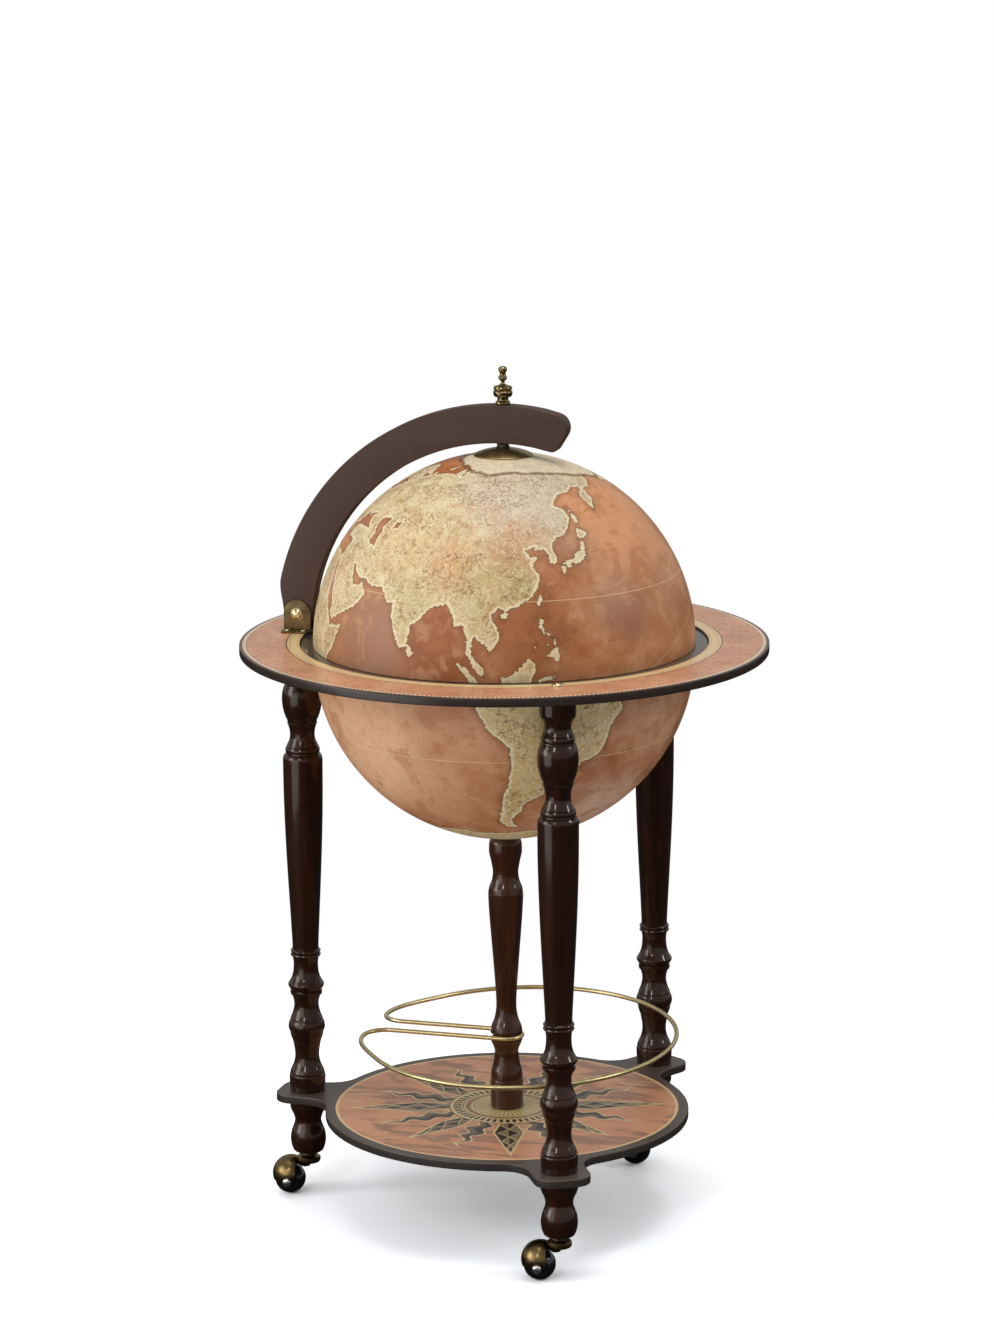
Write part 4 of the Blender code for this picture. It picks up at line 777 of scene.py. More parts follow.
def mapFinish(name, look):
    # An aged map print on paper under satin lacquer
    centre, seed = look["centre"], look["seed"]
    paper = Finish(name, {"Coat Weight": 0.1, "Coat Roughness": 0.3, "Specular IOR Level": 0.35})
    x, y = paper.axes()[:2]
    flat, azimuth, z = paper.polarAxes()
    up = z - centre.z
    coast = paper.add("ShaderNodeAttribute", {"attribute_name": "coast"}, output="Fac")
    cap = paper.add("ShaderNodeAttribute", {"attribute_name": "polarCap"}, output="Fac")
    wander = paper.noise(16 * mm, 6, 0.62, seed=seed) - 0.5
    ripple = paper.noise(4 * mm, 4, 0.7, seed=seed + 20) - 0.5
    coast = coast + wander * globe["jag"] + ripple * globe["ripple"]
    cap = cap + (paper.noise(22 * mm, 5, 0.6, seed=seed + 3) - 0.5) * 5 + ripple * 3
    land = coast.between(-0.08, 0.08)
    polar = cap.between(-0.1, 0.1)

    broad = paper.noise(75 * mm, 3, 0.5, seed=seed + 1)
    blotch = paper.noise(14 * mm, 5, 0.65, seed=seed + 2)
    fleck = paper.noise(2.2 * mm, 4, 0.7, seed=seed + 5)
    bent = paper.add("ShaderNodeVectorMath", {"operation": "MULTIPLY_ADD"}, {
        0: paper.noise(30 * mm, 4, 0.6, seed=seed + 12).beside("Color"), 1: (40 * mm,) * 3, 2: paper.place})

    # Soft patches of colour round places on the globe. The ocean's patches are partly painted light and
    # shade.
    def tinted(tone, tints):
        for longitude, latitude, reach, colour, share in tints:
            spot = Vector(onSphere(longitude + look["turn"], latitude)) * globeRadius + centre
            spot += Vector((20 * mm,) * 3)  # the middle of the bend
            away = paper.add("ShaderNodeVectorMath", {"operation": "DISTANCE"}, {0: bent, 1: spot}, "Value")
            tone = paper.mix((1 - away.between(reach * 0.3 * mm, reach * mm)) * share, tone, rgb(*colour))
        return tone

    def lines(size, detail, roughness, offset, low, high):
        # Winding lines, where a noise passes its middle
        return 1 - abs(paper.noise(size, detail, roughness, seed=seed + offset) - 0.5).between(low, high)

    sea, earth = mapLook["ocean"], look["land"]
    ink, rim, shoreLine = mapLook["ink"], mapLook["rim"], mapLook["shoreLine"]
    ocean = paper.ramp(broad * 0.6 + blotch * 0.4, *zip((0.38, 0.46, 0.54, 0.62), sea))
    stain = paper.noise(32 * mm, 5, 0.6, seed=seed + 23, distortion=0.6)
    # Ocean print with its soft patches, which are partly painted light and shade, then stains and flecks
    ocean = paper.layered(
        tinted(ocean, look["oceanTintsAndPaintedLight"]),
        (stain.between(0.51, 0.62) * 0.55, sea[1]), ((1 - stain).between(0.52, 0.64) * 0.5, sea[3]),
        (blotch.between(0.5, 0.72) * 0.35, sea[0]), (fleck.between(0.45, 0.7) * 0.25, sea[0]))

    # Worn cream and tan veins, rivers, ridges in clusters, loose hill strokes, and small dots for towns
    tan = lines(8 * mm, 5, 0.65, 22, 0.004, 0.03)
    ridge = lines(6 * mm, 2, 0.5, 14, 0.01, 0.05)
    strokes = paper.noise(4.5 * mm, 2, 0.5, paper.stretched(0.8, 0.8, 1.5), 1.0, seed + 16).between(0.6, 0.66)
    patches = paper.noise(24 * mm, 3, 0.6, seed=seed + 15)
    towns = paper.dots(9 * mm, paper.stretched(1, 1, 0.7)).between(0.06, 0.1)
    ground = paper.ramp(blotch * 0.6 + fleck * 0.4, *zip((0.36, 0.45, 0.58), earth))
    ground = paper.layered(
        tinted(ground, look["landTints"]),
        (paper.noise(26 * mm, 4, 0.6, seed=seed + 11).between(0.52, 0.68) * 0.5, mapLook["hills"]),
        (fleck.between(0.5, 0.72) * 0.4, earth[0]),
        (lines(10 * mm, 5, 0.65, 21, 0.004, 0.04) * 0.5, rim), (tan * 0.3, mapLook["vein"]),
        (lines(17 * mm, 3, 0.6, 13, 0.002, 0.012) * 0.45, ink),
        (ridge * patches.between(0.5, 0.56) * 0.5, ink),
        (strokes * (0.16 + patches.between(0.46, 0.56) * 0.5), ink), ((1 - towns) * 0.7, shoreLine),
        ((1 - coast.between(0.4, 1.1)) * 0.85, rim))

    # Short level lines off the coast, and a few on the open sea
    level = up / globe["waves"]
    level = level.maths("FRACT", level).near(0.5, 0.3)
    offing = coast.between(-2.8, -0.6) * (1 - land)
    offing = offing * paper.noise(6 * mm, 3, 0.6, seed=seed + 17).between(0.4, 0.55)
    swell = paper.noise(5 * mm, 2, 0.5, paper.stretched(0.35, 0.35, 1.6), seed=seed + 18).between(0.66, 0.7)
    ocean = paper.layered(ocean, (level * offing * 0.55, ink), (swell * 0.35, ink))
    cream = paper.layered(
        mapLook["polar"], (blotch.between(0.45, 0.7) * 0.6, mapLook["greyLand"]),
        (tan * 0.4, mapLook["vein"]), (fleck.between(0.5, 0.75) * 0.5, earth[0]))
    tone = paper.layered(
        ocean, (land, ground), (coast.near(-0.5, 1.0, 1.0) * (1 - land) * 0.35, sea[0]),
        (coast.near(-0.1, 0.3, 0.5) * 0.75, shoreLine), (polar, cream),
        (cap.near(-0.4, 1.5, 0.5) * 0.75, shoreLine))

    # Grid lines, then the tropics and the sun's path as pale threads
    step = radians(globe["gridStep"])
    around = abs((azimuth + step / 2) % step - step / 2)
    tone = paper.mix((1 - (around * flat).between(0.1 * mm, 0.28 * mm)) * 0.14, tone, ink)
    for latitude in range(globe["gridStep"], 90, globe["gridStep"]):
        width = 0.5 * mm * cos(radians(latitude))
        for sign in (-1, 1):
            tone = paper.mix(up.near(sign * globeRadius * sin(radians(latitude)), width) * 0.12, tone, ink)
    tilt, node = radians(globe["tropic"]), radians(globe["sunPathNode"])
    tropic = globeRadius * sin(tilt)
    threads = up.near(tropic, globe["thread"]).most(up.near(-tropic, globe["thread"]))
    if look["sunPath"]:
        sunPath = up * cos(tilt) - (y * cos(node) - x * sin(node)) * sin(tilt)
        threads = threads.most(sunPath.near(0, globe["thread"]))
    tone = paper.mix(threads * (0.75 - land * 0.45), tone, mapLook["thread"])

    # The plain inner face of the shell
    radius = (x * x + y * y + up * up) ** 0.5
    tone = paper.mix(radius < globeRadius - 1.2 * mm, tone, mapLook["inside"])
    paper.paint(Base_Color=tone, Roughness=blotch * 0.16 + fleck * 0.06 + 0.38)
    paper.bump(fleck * 0.6 + land * 0.4, 0.03 * mm)
    return paper.material


def halfGlobe(name, sign, hole, finish, look, body, node):
    # Rim, outer face to the pole's hole, then back along the inner face. sign is 1 for the upper half.
    outer, inner = globeRadius, globeRadius - globe["shell"]

    def face(radius, rings):
        end = acos(hole / radius)
        angles = [end * i / rings for i in range(rings + 1)]
        return [(radius * cos(a), sign * radius * sin(a)) for a in angles]

    profile = face(outer, globe["rings"]) + face(inner, globe["innerRings"])[::-1]
    if sign > 0:
        profile = profile[::-1]
    piece = turned(name, profile, finish, globe["around"], True, Matrix.Translation(look["centre"]))
    writeCoasts(piece.data, look["centre"], look["turn"])
    settle(piece, body, [node])


lidMap, bowlMap = mapFinish("lidMap", lidLook), mapFinish("bowlMap", bowlLook)
halfGlobe("globeLid", 1, drilled["pivot"], lidMap, lidLook, "lid_globe", "upper_hemisphere")
halfGlobe("globeBowl", -1, drilled["column"], bowlMap, bowlLook, "stand", "lower_hemisphere")
print("globe made")


# Ring table and the seat in it

ring = {
    "radius": 276.99 * mm, "hole": 213.5 * mm, "edge": 0.9 * mm,
    "goldOut": 227 * mm, "goldIn": 214.3 * mm, "dashes": 271.6 * mm, "dashWidth": 3.4 * mm,
    "margin": 273.8 * mm, "screwX": 9 * mm, "screwY": 17.8 * mm, "seatIn": 184 * mm,
    # The degree scale outside the gold band, and the two lines in it
    "scale": 227.6 * mm, "shortMark": 2.6 * mm, "longMark": 4.9 * mm, "outerLine": 224.2 * mm,
    "innerLine": 216.2 * mm,
}


def marks(flat, azimuth, count, share, inner, outer):
    # Even marks round a circle, each as long as its share of a step
    return ((azimuth * (count / tau)) % 1 < share) * (flat > inner) * (flat < outer)


def ringPrint():
    # Terracotta band between a gold band at the hole and a pale dashed line at the rim
    face = Finish("ringPrint", {"Coat Weight": 0.4, "Coat Roughness": 0.2, "Specular IOR Level": 0.4})
    flat, azimuth, z = face.polarAxes()
    cloud = face.noise(40 * mm, 4, 0.6, seed=2)
    fleck = face.noise(3 * mm, 4, 0.65, seed=5)
    # Small darker wisps in the band
    wisps = face.noise(7 * mm, 5, 0.7, seed=8, distortion=1.5).between(0.53, 0.6)
    dark, brown = rgb(84, 58, 44), rgb(128, 92, 52)
    scale = ring["scale"]
    inDashes, outDashes = ring["dashes"] - ring["dashWidth"] / 2, ring["dashes"] + ring["dashWidth"] / 2
    inGold = (flat < ring["goldOut"]) * (flat > ring["goldIn"])
    # Pale cream gold: partly the gold print's colour and partly painted sheen, standing in for the metal's
    # gleam
    gold = face.mix(face.noise(9 * mm, 4, 0.6, seed=11), rgb(236, 194, 128), rgb(255, 232, 184))
    # Everything but the top face is a near-black edge
    sides = (z < ringTop - 0.35 * mm).most(flat > ring["radius"] - 0.7 * mm)
    sides = sides.most(flat < ring["hole"] + 0.5 * mm)
    tone = face.ramp(cloud * 0.6 + fleck * 0.4, (0.34, rgb(188, 128, 92)), (0.5, rgb(216, 156, 116)),
                     (0.66, rgb(230, 180, 140)))
    tone = face.layered(
        tone, (wisps * 0.5, rgb(146, 84, 58)),
        (marks(flat, azimuth, 72, 0.04, scale, scale + ring["shortMark"]) * 0.6, dark),
        (marks(flat, azimuth, 24, 0.02, scale, scale + ring["longMark"]) * 0.7, dark),
        (flat.near(scale + 0.1 * mm, 1.2 * mm) * 0.85, dark),
        (flat.near(ring["dashes"], ring["dashWidth"]) * 0.3, rgb(128, 92, 70)),
        (marks(flat, azimuth, 360, 0.55, inDashes, outDashes) * 0.95, rgb(255, 242, 210)),
        (flat.near(inDashes - 0.5 * mm, 0.8 * mm) * 0.6, dark), (flat > ring["margin"], rgb(74, 56, 46)),
        (inGold, gold), (flat.near(ring["outerLine"], 0.6 * mm) * 0.7 * inGold, brown),
        (flat.near(ring["innerLine"], 0.5 * mm) * 0.5 * inGold, brown),
        (sides, face.mix(cloud, rgb(40, 29, 23), rgb(56, 42, 34))))
    face.paint(Base_Color=tone, Metallic=inGold * 0.2 * (1 - sides), Roughness=cloud * 0.14 + 0.3)
    face.bump(fleck, 0.02 * mm)
    return face.material


bracketSpots = [(-legCircle + x, y) for y in (-ring["screwY"], ring["screwY"])
                for x in (-ring["screwX"], ring["screwX"])]
ringHoles = [circle(ring["hole"], 256)] + legHoles
ringHoles += [circle(drilled["bracket"], 16, spot) for spot in bracketSpots]
levelBoard("ringTable", circle(ring["radius"], 320), ringHoles, ringPrint(), "horizon_ring",
           ring["edge"])

# The seat's top shows in the gap round the globe; its dark colour there is partly painted shade
seatOut, seatIn, rebate = ring["hole"] - gap, ring["seatIn"], globeRadius + gap
under = bowlCentre.z + gap
seatProfile = [(seatIn + 0.8 * mm, seatTop), (seatOut - 1.2 * mm, seatTop),
               (seatOut - 0.4 * mm, seatTop - 0.3 * mm), (seatOut, seatTop - 1 * mm), (seatOut, seatLow),
               (rebate, seatLow), (rebate, under), (seatIn, under), (seatIn, seatTop - 0.8 * mm),
               (seatIn + 0.25 * mm, seatTop - 0.25 * mm)]
settle(turned("rimSeat", seatProfile, seatPlastic, 256, ring=True), "stand", ["rim_seat"])
print("ring made")


# What the bowl holds

rack = {"trayRadius": 183.7 * mm, "flange": 10 * mm, "sheet": 1.8 * mm, "wall": 2.5 * mm, "depth": 36 * mm,
        "ledge": 9 * mm, "bottleHole": 42 * mm, "glassHole": 30 * mm, "bottleRing": 60.04 * mm,
        "glassRing": 140.3 * mm}
flangeTop = seatTop + gap + rack["sheet"]
trayLow = seatTop - rack["depth"]
wallIn = rack["trayRadius"] - rack["wall"]
flangeOut = rack["trayRadius"] + rack["flange"]
ledgeIn, ledgeTop = wallIn - rack["ledge"], trayLow + rack["wall"]
trayProfile = [(wallIn + 1.2 * mm, flangeTop), (flangeOut - 3 * mm, flangeTop),
               (flangeOut - 1 * mm, flangeTop - 0.3 * mm), (flangeOut, flangeTop - 1.1 * mm),
               (flangeOut, seatTop + gap), (rack["trayRadius"], seatTop + gap), (rack["trayRadius"], trayLow),
               (ledgeIn, trayLow), (ledgeIn, trayLow + 2 * mm), (ledgeIn + 0.5 * mm, ledgeTop),
               (wallIn - 0.8 * mm, ledgeTop), (wallIn, ledgeTop + 0.8 * mm), (wallIn, flangeTop - 1.2 * mm),
               (wallIn + 0.35 * mm, flangeTop - 0.35 * mm)]
settle(turned("trayRim", trayProfile, trayPlastic, 192, ring=True), "stand", ["tray_rim"])

rackHoles = [circle(rack["bottleHole"], 96, polar(rack["bottleRing"], 60 + 120 * i)) for i in range(3)]
rackHoles += [circle(rack["glassHole"], 72, polar(rack["glassRing"], 30 + 60 * i)) for i in range(6)]
levelBoard("glassRack", circle(wallIn - gap, 192), rackHoles, plainWood, "glass_rack")

floorLow, floorHigh = heights("bottle_floor")


def bowlWidth(height):
    return sqrt((globeRadius - globe["shell"]) ** 2 - (bowlCentre.z - height) ** 2)


topWidth, lowWidth = bowlWidth(floorHigh), bowlWidth(floorLow)
floorProfile = [(0, floorHigh), (topWidth - 2.5 * mm, floorHigh), (topWidth - 1.8 * mm, floorHigh - 0.6 * mm),
                (lowWidth - 1.5 * mm, floorLow), (0, floorLow)]
settle(turned("bottleFloor", floorProfile, plainWood, 128), "stand", ["bottle_floor"])
print("bowl's inside made")


# Turned wood: (distance from that end, radius) in millimetres. A third value marks a crisp corner.
# Bores are (radius, depth) at the top and at the bottom.

legLook = {
    "top": [(0, 18.0), (0.6, 18.6, 1), (19.5, 18.8), (22, 18.3, 1), (25.6, 15.9, 1), (26.4, 15.7, 1),
            (27, 15.0), (33, 13.9), (37, 14.7), (40.8, 16.3, 1), (41.3, 15.8, 1), (41.8, 16.6, 1),
            (44.5, 17.5), (47.4, 17.3, 1), (48.2, 16.5, 1), (49.4, 16.7, 1), (50, 18.1, 1), (56, 20.2),
            (65, 21.2), (74, 20.6), (82, 18.7), (87, 16.9, 1), (87.8, 16.1, 1), (91.2, 15.5, 1),
            (91.8, 16.0, 1), (93.2, 15.4), (98, 13.9), (104, 13.1), (109, 13.6), (114, 15.6),
            (117.2, 17.2, 1), (117.7, 16.7, 1), (118.2, 17.6, 1), (120.6, 18.4), (123, 18.2, 1),
            (123.8, 17.2, 1), (125.2, 17.4, 1), (125.9, 19.2, 1), (128.4, 20.6), (132, 21.1), (139, 21.1)],
    "bottom": [(0, 18.3), (0.6, 18.9, 1), (17, 19.4), (18.2, 19.0, 1), (18.9, 18.0, 1), (19.9, 18.0, 1),
               (20.4, 18.6, 1), (24, 17.4), (30, 14.6), (38, 13.0), (46, 13.4), (54.5, 15.0, 1),
               (55, 14.5, 1), (56, 14.6, 1), (56.5, 15.5, 1), (61, 17.1), (65, 18.0, 1), (65.7, 17.3, 1),
               (66.6, 17.5, 1), (67.2, 18.6, 1), (70.5, 19.6), (75, 19.2), (78.6, 17.9, 1), (79.2, 17.1, 1),
               (80.2, 16.9, 1), (80.8, 17.4, 1), (86, 15.2), (94.1, 13.2), (101, 13.5), (106.6, 15.2, 1),
               (107.4, 16.5, 1), (109.8, 17.1), (112.6, 16.9, 1), (113.3, 15.9, 1), (114.3, 16.1, 1),
               (115, 17.8, 1), (117, 19.0), (119.2, 19.2), (121.4, 18.0), (125.6, 15.6), (132, 13.8),
               (142.6, 13.1), (149.4, 14.0, 1), (150.2, 15.5), (151.6, 16.2), (153, 15.6, 1),
               (153.5, 14.9, 1), (154.1, 14.9, 1), (154.6, 15.6, 1), (156, 16.2), (157.2, 15.4),
               (158, 14.1, 1), (161, 14.0)],
    "taper": 1.15, "bores": ((drilled["leg"], 35 * mm), (drilled["leg"], 32 * mm)),
}
footLook = {
    "top": [(0, 18.4), (0.6, 19.0, 1), (9.8, 19.2, 1), (13.6, 17.9), (17.9, 15.8), (24.3, 14.25)],
    "bottom": [(0, 7.8), (2.2, 9.0), (4.3, 8.2, 1), (4.7, 12.6, 1), (6.6, 15.7), (10.9, 17.7), (19.5, 19.15),
               (28.1, 18.1), (36.7, 15.1)],
    "bores": ((drilled["leg"], 24 * mm), (5.8 * mm, 30.6 * mm)),
}
columnLook = {
    "top": [(0, 13.0, 1), (7.7, 16.8), (14.7, 17.5, 1), (19.7, 17.5, 1), (31, 15.0), (41.7, 13.5),
            (50.7, 14.8), (57.2, 17.3), (63.4, 18.5, 1), (64, 17.9, 1), (64.9, 17.9, 1), (65.5, 18.7, 1),
            (83.7, 17.8)],
    "aboveRail": [(5.3, 17.0, 1), (11.2, 15.7), (17.7, 13.1), (24.7, 11.5), (34.7, 10.7)],
    "belowRail": [(18.8, 12.7), (15.3, 13.1), (8.8, 15.6), (5.3, 17.0, 1)],
    "bottom": [(0, 16.8), (0.6, 17.4, 1), (30.4, 17.5), (31.2, 17.2, 1), (31.8, 16.5, 1), (32.8, 16.5, 1),
               (33.4, 17.3, 1), (40.1, 16.4), (47.1, 14.5)],
    "groove": 14.1 * mm, "grooveHalf": 2.7 * mm, "railHeight": 79.4 * mm,
    "bores": ((drilled["column"], 30.3 * mm), (drilled["column"], 30.3 * mm)),
}


def along(points, start=0, way=1):
    # (distance, radius) in millimetres to (height, radius) in metres, up from start or, with way -1, down
    return [(start + way * d * mm, r * mm, *corner) for d, r, *corner in points]


def outline(points):
    return [(radius, height) for height, radius in softened(points, 1.2 * mm)]


def legProfile(length, count=24):
    # The turned ends with a long taper between them
    top, bottom = along(legLook["top"], length, -1), along(legLook["bottom"])[::-1]
    (high, highRadius), (low, lowRadius) = top[-1][:2], bottom[0][:2]
    shaft = []
    for i in range(count - 1, 0, -1):
        share = sin(i / count * pi / 2) ** legLook["taper"]
        shaft.append((low + (high - low) * i / count, lowRadius + (highRadius - lowRadius) * share))
    return outline(top + shaft + bottom)


def footProfile(length):
    return outline(along(footLook["top"], length, -1) + along(footLook["bottom"])[::-1])


def columnProfile(length):
    # Down to the groove that the rail lies in, round it, and on down
    rail = columnLook["railHeight"] - gap
    above = along(columnLook["top"], length, -1) + along(columnLook["aboveRail"][::-1], rail)
    below = along(columnLook["belowRail"][::-1], rail, -1) + along(columnLook["bottom"])[::-1]
    half, groove = columnLook["grooveHalf"], columnLook["groove"]
    lip = [(17 * mm, half + 0.5 * mm), (16.5 * mm, half), (groove, half)]
    middle = [(radius, rail + height) for radius, height in lip]
    middle += [(radius, rail - height) for radius, height in lip[::-1]]
    return outline(above) + middle + outline(below)


def woodPart(name, node, place, look, profileOf, wood=mahogany, steps=96):
    low, high = heights(node)
    length = high - low
    (topBore, topDepth), (lowBore, lowDepth) = look["bores"]
    profile = [(0, length - topDepth), (topBore, length - topDepth), (topBore, length)] + profileOf(length)
    profile += [(lowBore, 0), (lowBore, lowDepth), (0, lowDepth)]
    base = Matrix.Translation(place + Vector((0, 0, low)))
    piece = turned(name, profile, wood, steps, matrix=base, angle=24)
    settle(piece, "stand", [node])


for side, place in legPlaces.items():
    woodPart(side + "Leg", side + "_leg", place, legLook, legProfile)
    woodPart(side + "Foot", side + "_foot", place, footLook, footProfile)
# The centre column takes the lighter copy of the lacquer, as painted light
woodPart("centreColumn", "centre_column", Vector(), columnLook, columnProfile, columnWoodPaintedLight)
print("turned wood made")


# Bottle shelf and its rail

shelf = {"radius": 194 * mm, "tip": 255.5 * mm, "lobeHalf": 29.5 * mm, "corner": 19 * mm, "fillet": 30 * mm,
         "print": 181.6 * mm, "rimLine": 3.2 * mm}
rose = {
    "dark": rgb(56, 45, 39), "mid": rgb(122, 100, 76), "light": rgb(150, 128, 98),
    "cream": rgb(240, 214, 158), "waveLength": 26 * mm, "middle": 62 * mm, "band": 41.6 * mm,
    "bandWidth": 3.6 * mm,
    # Radius and width in millimetres of the dark circles in the middle
    "circles": [(61.6, 1.4), (46.6, 1.2), (43.6, 0.8), (39.4, 0.8), (35.4, 0.9), (19, 0.9)],
}
# Waving rays, short points and long points. line is the outline's width, chain the length of a diamond.
roseStars = [
    {"count": 8, "turn": 40, "inner": 60 * mm, "outer": 150 * mm, "half": 12 * mm, "waver": 4 * mm,
     "line": 2 * mm, "chain": 0, "fills": ("mid", "dark")},
    {"count": 4, "turn": 62.5, "inner": 58 * mm, "outer": 152 * mm, "half": 14 * mm, "waver": 0,
     "line": 1.9 * mm, "chain": 24 * mm, "fills": ("dark", "mid")},
    {"count": 4, "turn": 17.5, "inner": 58 * mm, "outer": 172 * mm, "half": 17 * mm, "waver": 0,
     "line": 2 * mm, "chain": 27 * mm, "fills": ("dark", "light")},
]


def shelfOutline():
    side = shelf["lobeHalf"] + shelf["fillet"]
    filletAt = sqrt((shelf["radius"] + shelf["fillet"]) ** 2 - side**2)
    tangent = atan2(side, filletAt) * 180 / pi
    inset = shelf["tip"] - shelf["corner"]
    lobe = arc((filletAt, -side), shelf["fillet"], 180 - tangent, 90, 16)
    lobe += arc((inset, shelf["corner"] - shelf["lobeHalf"]), shelf["corner"], -90, 0, 12)
    lobe += arc((inset, shelf["lobeHalf"] - shelf["corner"]), shelf["corner"], 0, 90, 12)
    lobe += arc((filletAt, side), shelf["fillet"], 270, 180 + tangent, 16)
    points = []
    for azimuth in sorted(legAzimuths.values()):
        a = radians(azimuth)
        points += [(u * cos(a) - v * sin(a), u * sin(a) + v * cos(a)) for u, v in lobe]
        points += arc((0, 0), shelf["radius"], azimuth + tangent, azimuth + 120 - tangent, 60)[1:-1]
    return points


def shelfPrint():
    # A compass rose of straight points and waving rays on a terracotta ground
    face = Finish("shelfPrint", {"Coat Weight": 0.2, "Coat Roughness": 0.22})
    flat, azimuth, z = face.polarAxes()
    cloud = face.noise(50 * mm, 4, 0.6, seed=3)
    fleck = face.noise(2.5 * mm, 4, 0.65, seed=6)
    streak = face.noise(34 * mm, 4, 0.55, face.stretched(0.35, 1, 1), 1.4, seed=9)
    dark, cream = rose["dark"], rose["cream"]

    def starred(tone, star):
        # Kite-shaped points, each split along its middle, with a pale outline and a chain of diamonds
        inner, outer, half, line = star["inner"], star["outer"], star["half"], star["line"]
        step = tau / star["count"]
        folded = (azimuth - radians(star["turn"]) + step / 2) % step - step / 2
        reach, across = flat * folded.cosine(), flat * folded.sine()
        if star["waver"]:
            across = across + (reach * (tau / rose["waveLength"])).sine() * star["waver"]
        start, waist = inner * 0.4, inner + (outer - inner) * 0.3
        toTip = (outer - reach) * (half / (outer - waist))
        limit = toTip.least((reach - start) * (half / (waist - start)))
        depth = limit - abs(across)
        tone = face.mix(depth.between(-0.3 * mm, 0.1 * mm) * (flat > inner), tone, cream)
        first, second = [rose[colour] for colour in star["fills"]]
        fill = face.mix(across > 0, first, second)
        if star["chain"]:
            diamond = (1 - abs((reach / star["chain"]) % 1 - 0.5) * 2) * limit * 0.7 - abs(across)
            fill = face.mix(diamond > 0, fill, face.mix(across > 0, second, first))
            fill = face.mix(diamond.near(0, 1.6 * mm) * 0.8, fill, cream)
        return face.mix(depth.between(line, line + 0.4 * mm) * (flat > inner), tone, fill)

    tone = face.ramp(cloud * 0.7 + fleck * 0.3, (0.32, rgb(208, 136, 96)), (0.5, rgb(234, 166, 122)),
                     (0.68, rgb(246, 188, 146)))
    tone = face.mix(streak.between(0.48, 0.6) * 0.7, tone, rgb(146, 110, 92))
    for star in roseStars:
        tone = starred(tone, star)
    gold = face.mix(face.noise(8 * mm, 4, 0.6, seed=12), rgb(222, 190, 124), rgb(250, 226, 166))
    tone = face.layered(
        tone, (flat < rose["middle"], gold), (marks(flat, azimuth, 48, 0.58, 48.5 * mm, 57.5 * mm), dark),
        (marks(flat, azimuth, 40, 0.22, 20 * mm, 34 * mm) * 0.85, dark),
        (flat.near(rose["band"], rose["bandWidth"]), rgb(176, 116, 80)))
    for radius, width in rose["circles"]:
        tone = face.mix(flat.near(radius * mm, width * mm) * 0.85, tone, dark)
    bare = face.mix(face.noise(30 * mm, 4, 0.6, seed=15), rgb(80, 66, 58), rgb(98, 82, 72))
    tone = face.layered(
        tone, (flat.near(shelf["print"], shelf["rimLine"]), rgb(250, 214, 160)),
        (flat > shelf["print"] + shelf["rimLine"] / 2, bare),
        (z < shelfTop - 1.2 * mm, face.mix(cloud, rgb(44, 37, 34), rgb(60, 51, 47))))
    face.paint(Base_Color=tone, Roughness=cloud * 0.14 + 0.34)
    face.bump(fleck, 0.02 * mm)
    return face.material


shelfHoles = legHoles + [circle(drilled["column"], 24)]
levelBoard("bottleShelf", shelfOutline(), shelfHoles, shelfPrint(), "bottle_shelf", 1 * mm)

railLook = {"rod": 2.4 * mm, "bend": 24.5 * mm, "cornerInset": 40.9 * mm, "shift": 17.3 * mm,
            "reachX": 162.9 * mm, "reachY": 185.3 * mm, "join": 140}


def railPath():
    # Round the column, out along a bend and round an oval, then the same mirrored
    run = columnLook["groove"] + gap + railLook["rod"]
    corner = (railLook["cornerInset"] - railLook["reachX"], run + railLook["bend"])
    join, reachX, reachY = radians(railLook["join"]), railLook["reachX"], railLook["reachY"]
    angles = [join * (1 - i / 80) for i in range(81)]
    oval = [(railLook["shift"] + reachX * cos(a), reachY * sin(a)) for a in angles]
    half = arc((0, 0), run, 0, 90, 24) + arc(corner, railLook["bend"], 270, 180, 24)
    half += blend(half[-1], (0, 1), oval[0], (reachX * sin(join), -reachY * cos(join)), 16) + oval
    return half + [(x, -y) for x, y in half[-2:0:-1]]


railLow, railHigh = heights("bottle_rail")
railBase = drawnCurve("railPath", [[(x, y, (railLow + railHigh) / 2) for x, y in railPath()]], "3D")
railRod = rodGrower.grow("bottleRail", railBase, {
    "Rod Radius": railLook["rod"], "Sides": 20, "Spacing": 3 * mm, "Material": satinBrass})
settle(railRod, "stand", ["bottle_rail"])
print("shelf made")


# Arm and hinge

arm = {"inner": 209.5 * mm, "outer": 249.5 * mm, "thick": 18 * mm, "eye": 15.8 * mm, "shoulder": 13,
       "tailIn": 16, "tailOut": 18.5, "cornerIn": 7 * mm, "cornerOut": 15 * mm, "edge": 1.2 * mm,
       "eyeTo": 345, "lift": 1.5 * mm, "clearance": 0.7 * mm}
bracket = {"radius": 15 * mm, "cheek": 2 * mm, "cheekIn": 9.3 * mm, "base": 1.8 * mm, "foot": 13 * mm,
           "edge": 0.35 * mm, "corner": 3 * mm, "middleHole": 6.6 * mm, "overlap": 0.9 * mm}
armCentre = lidCentre.z + arm["lift"]
baseTop = ringTop + gap + bracket["base"]
pinHeight = baseTop + arm["clearance"] + arm["eye"]
hinge = Vector((-legCircle, 0, pinHeight))


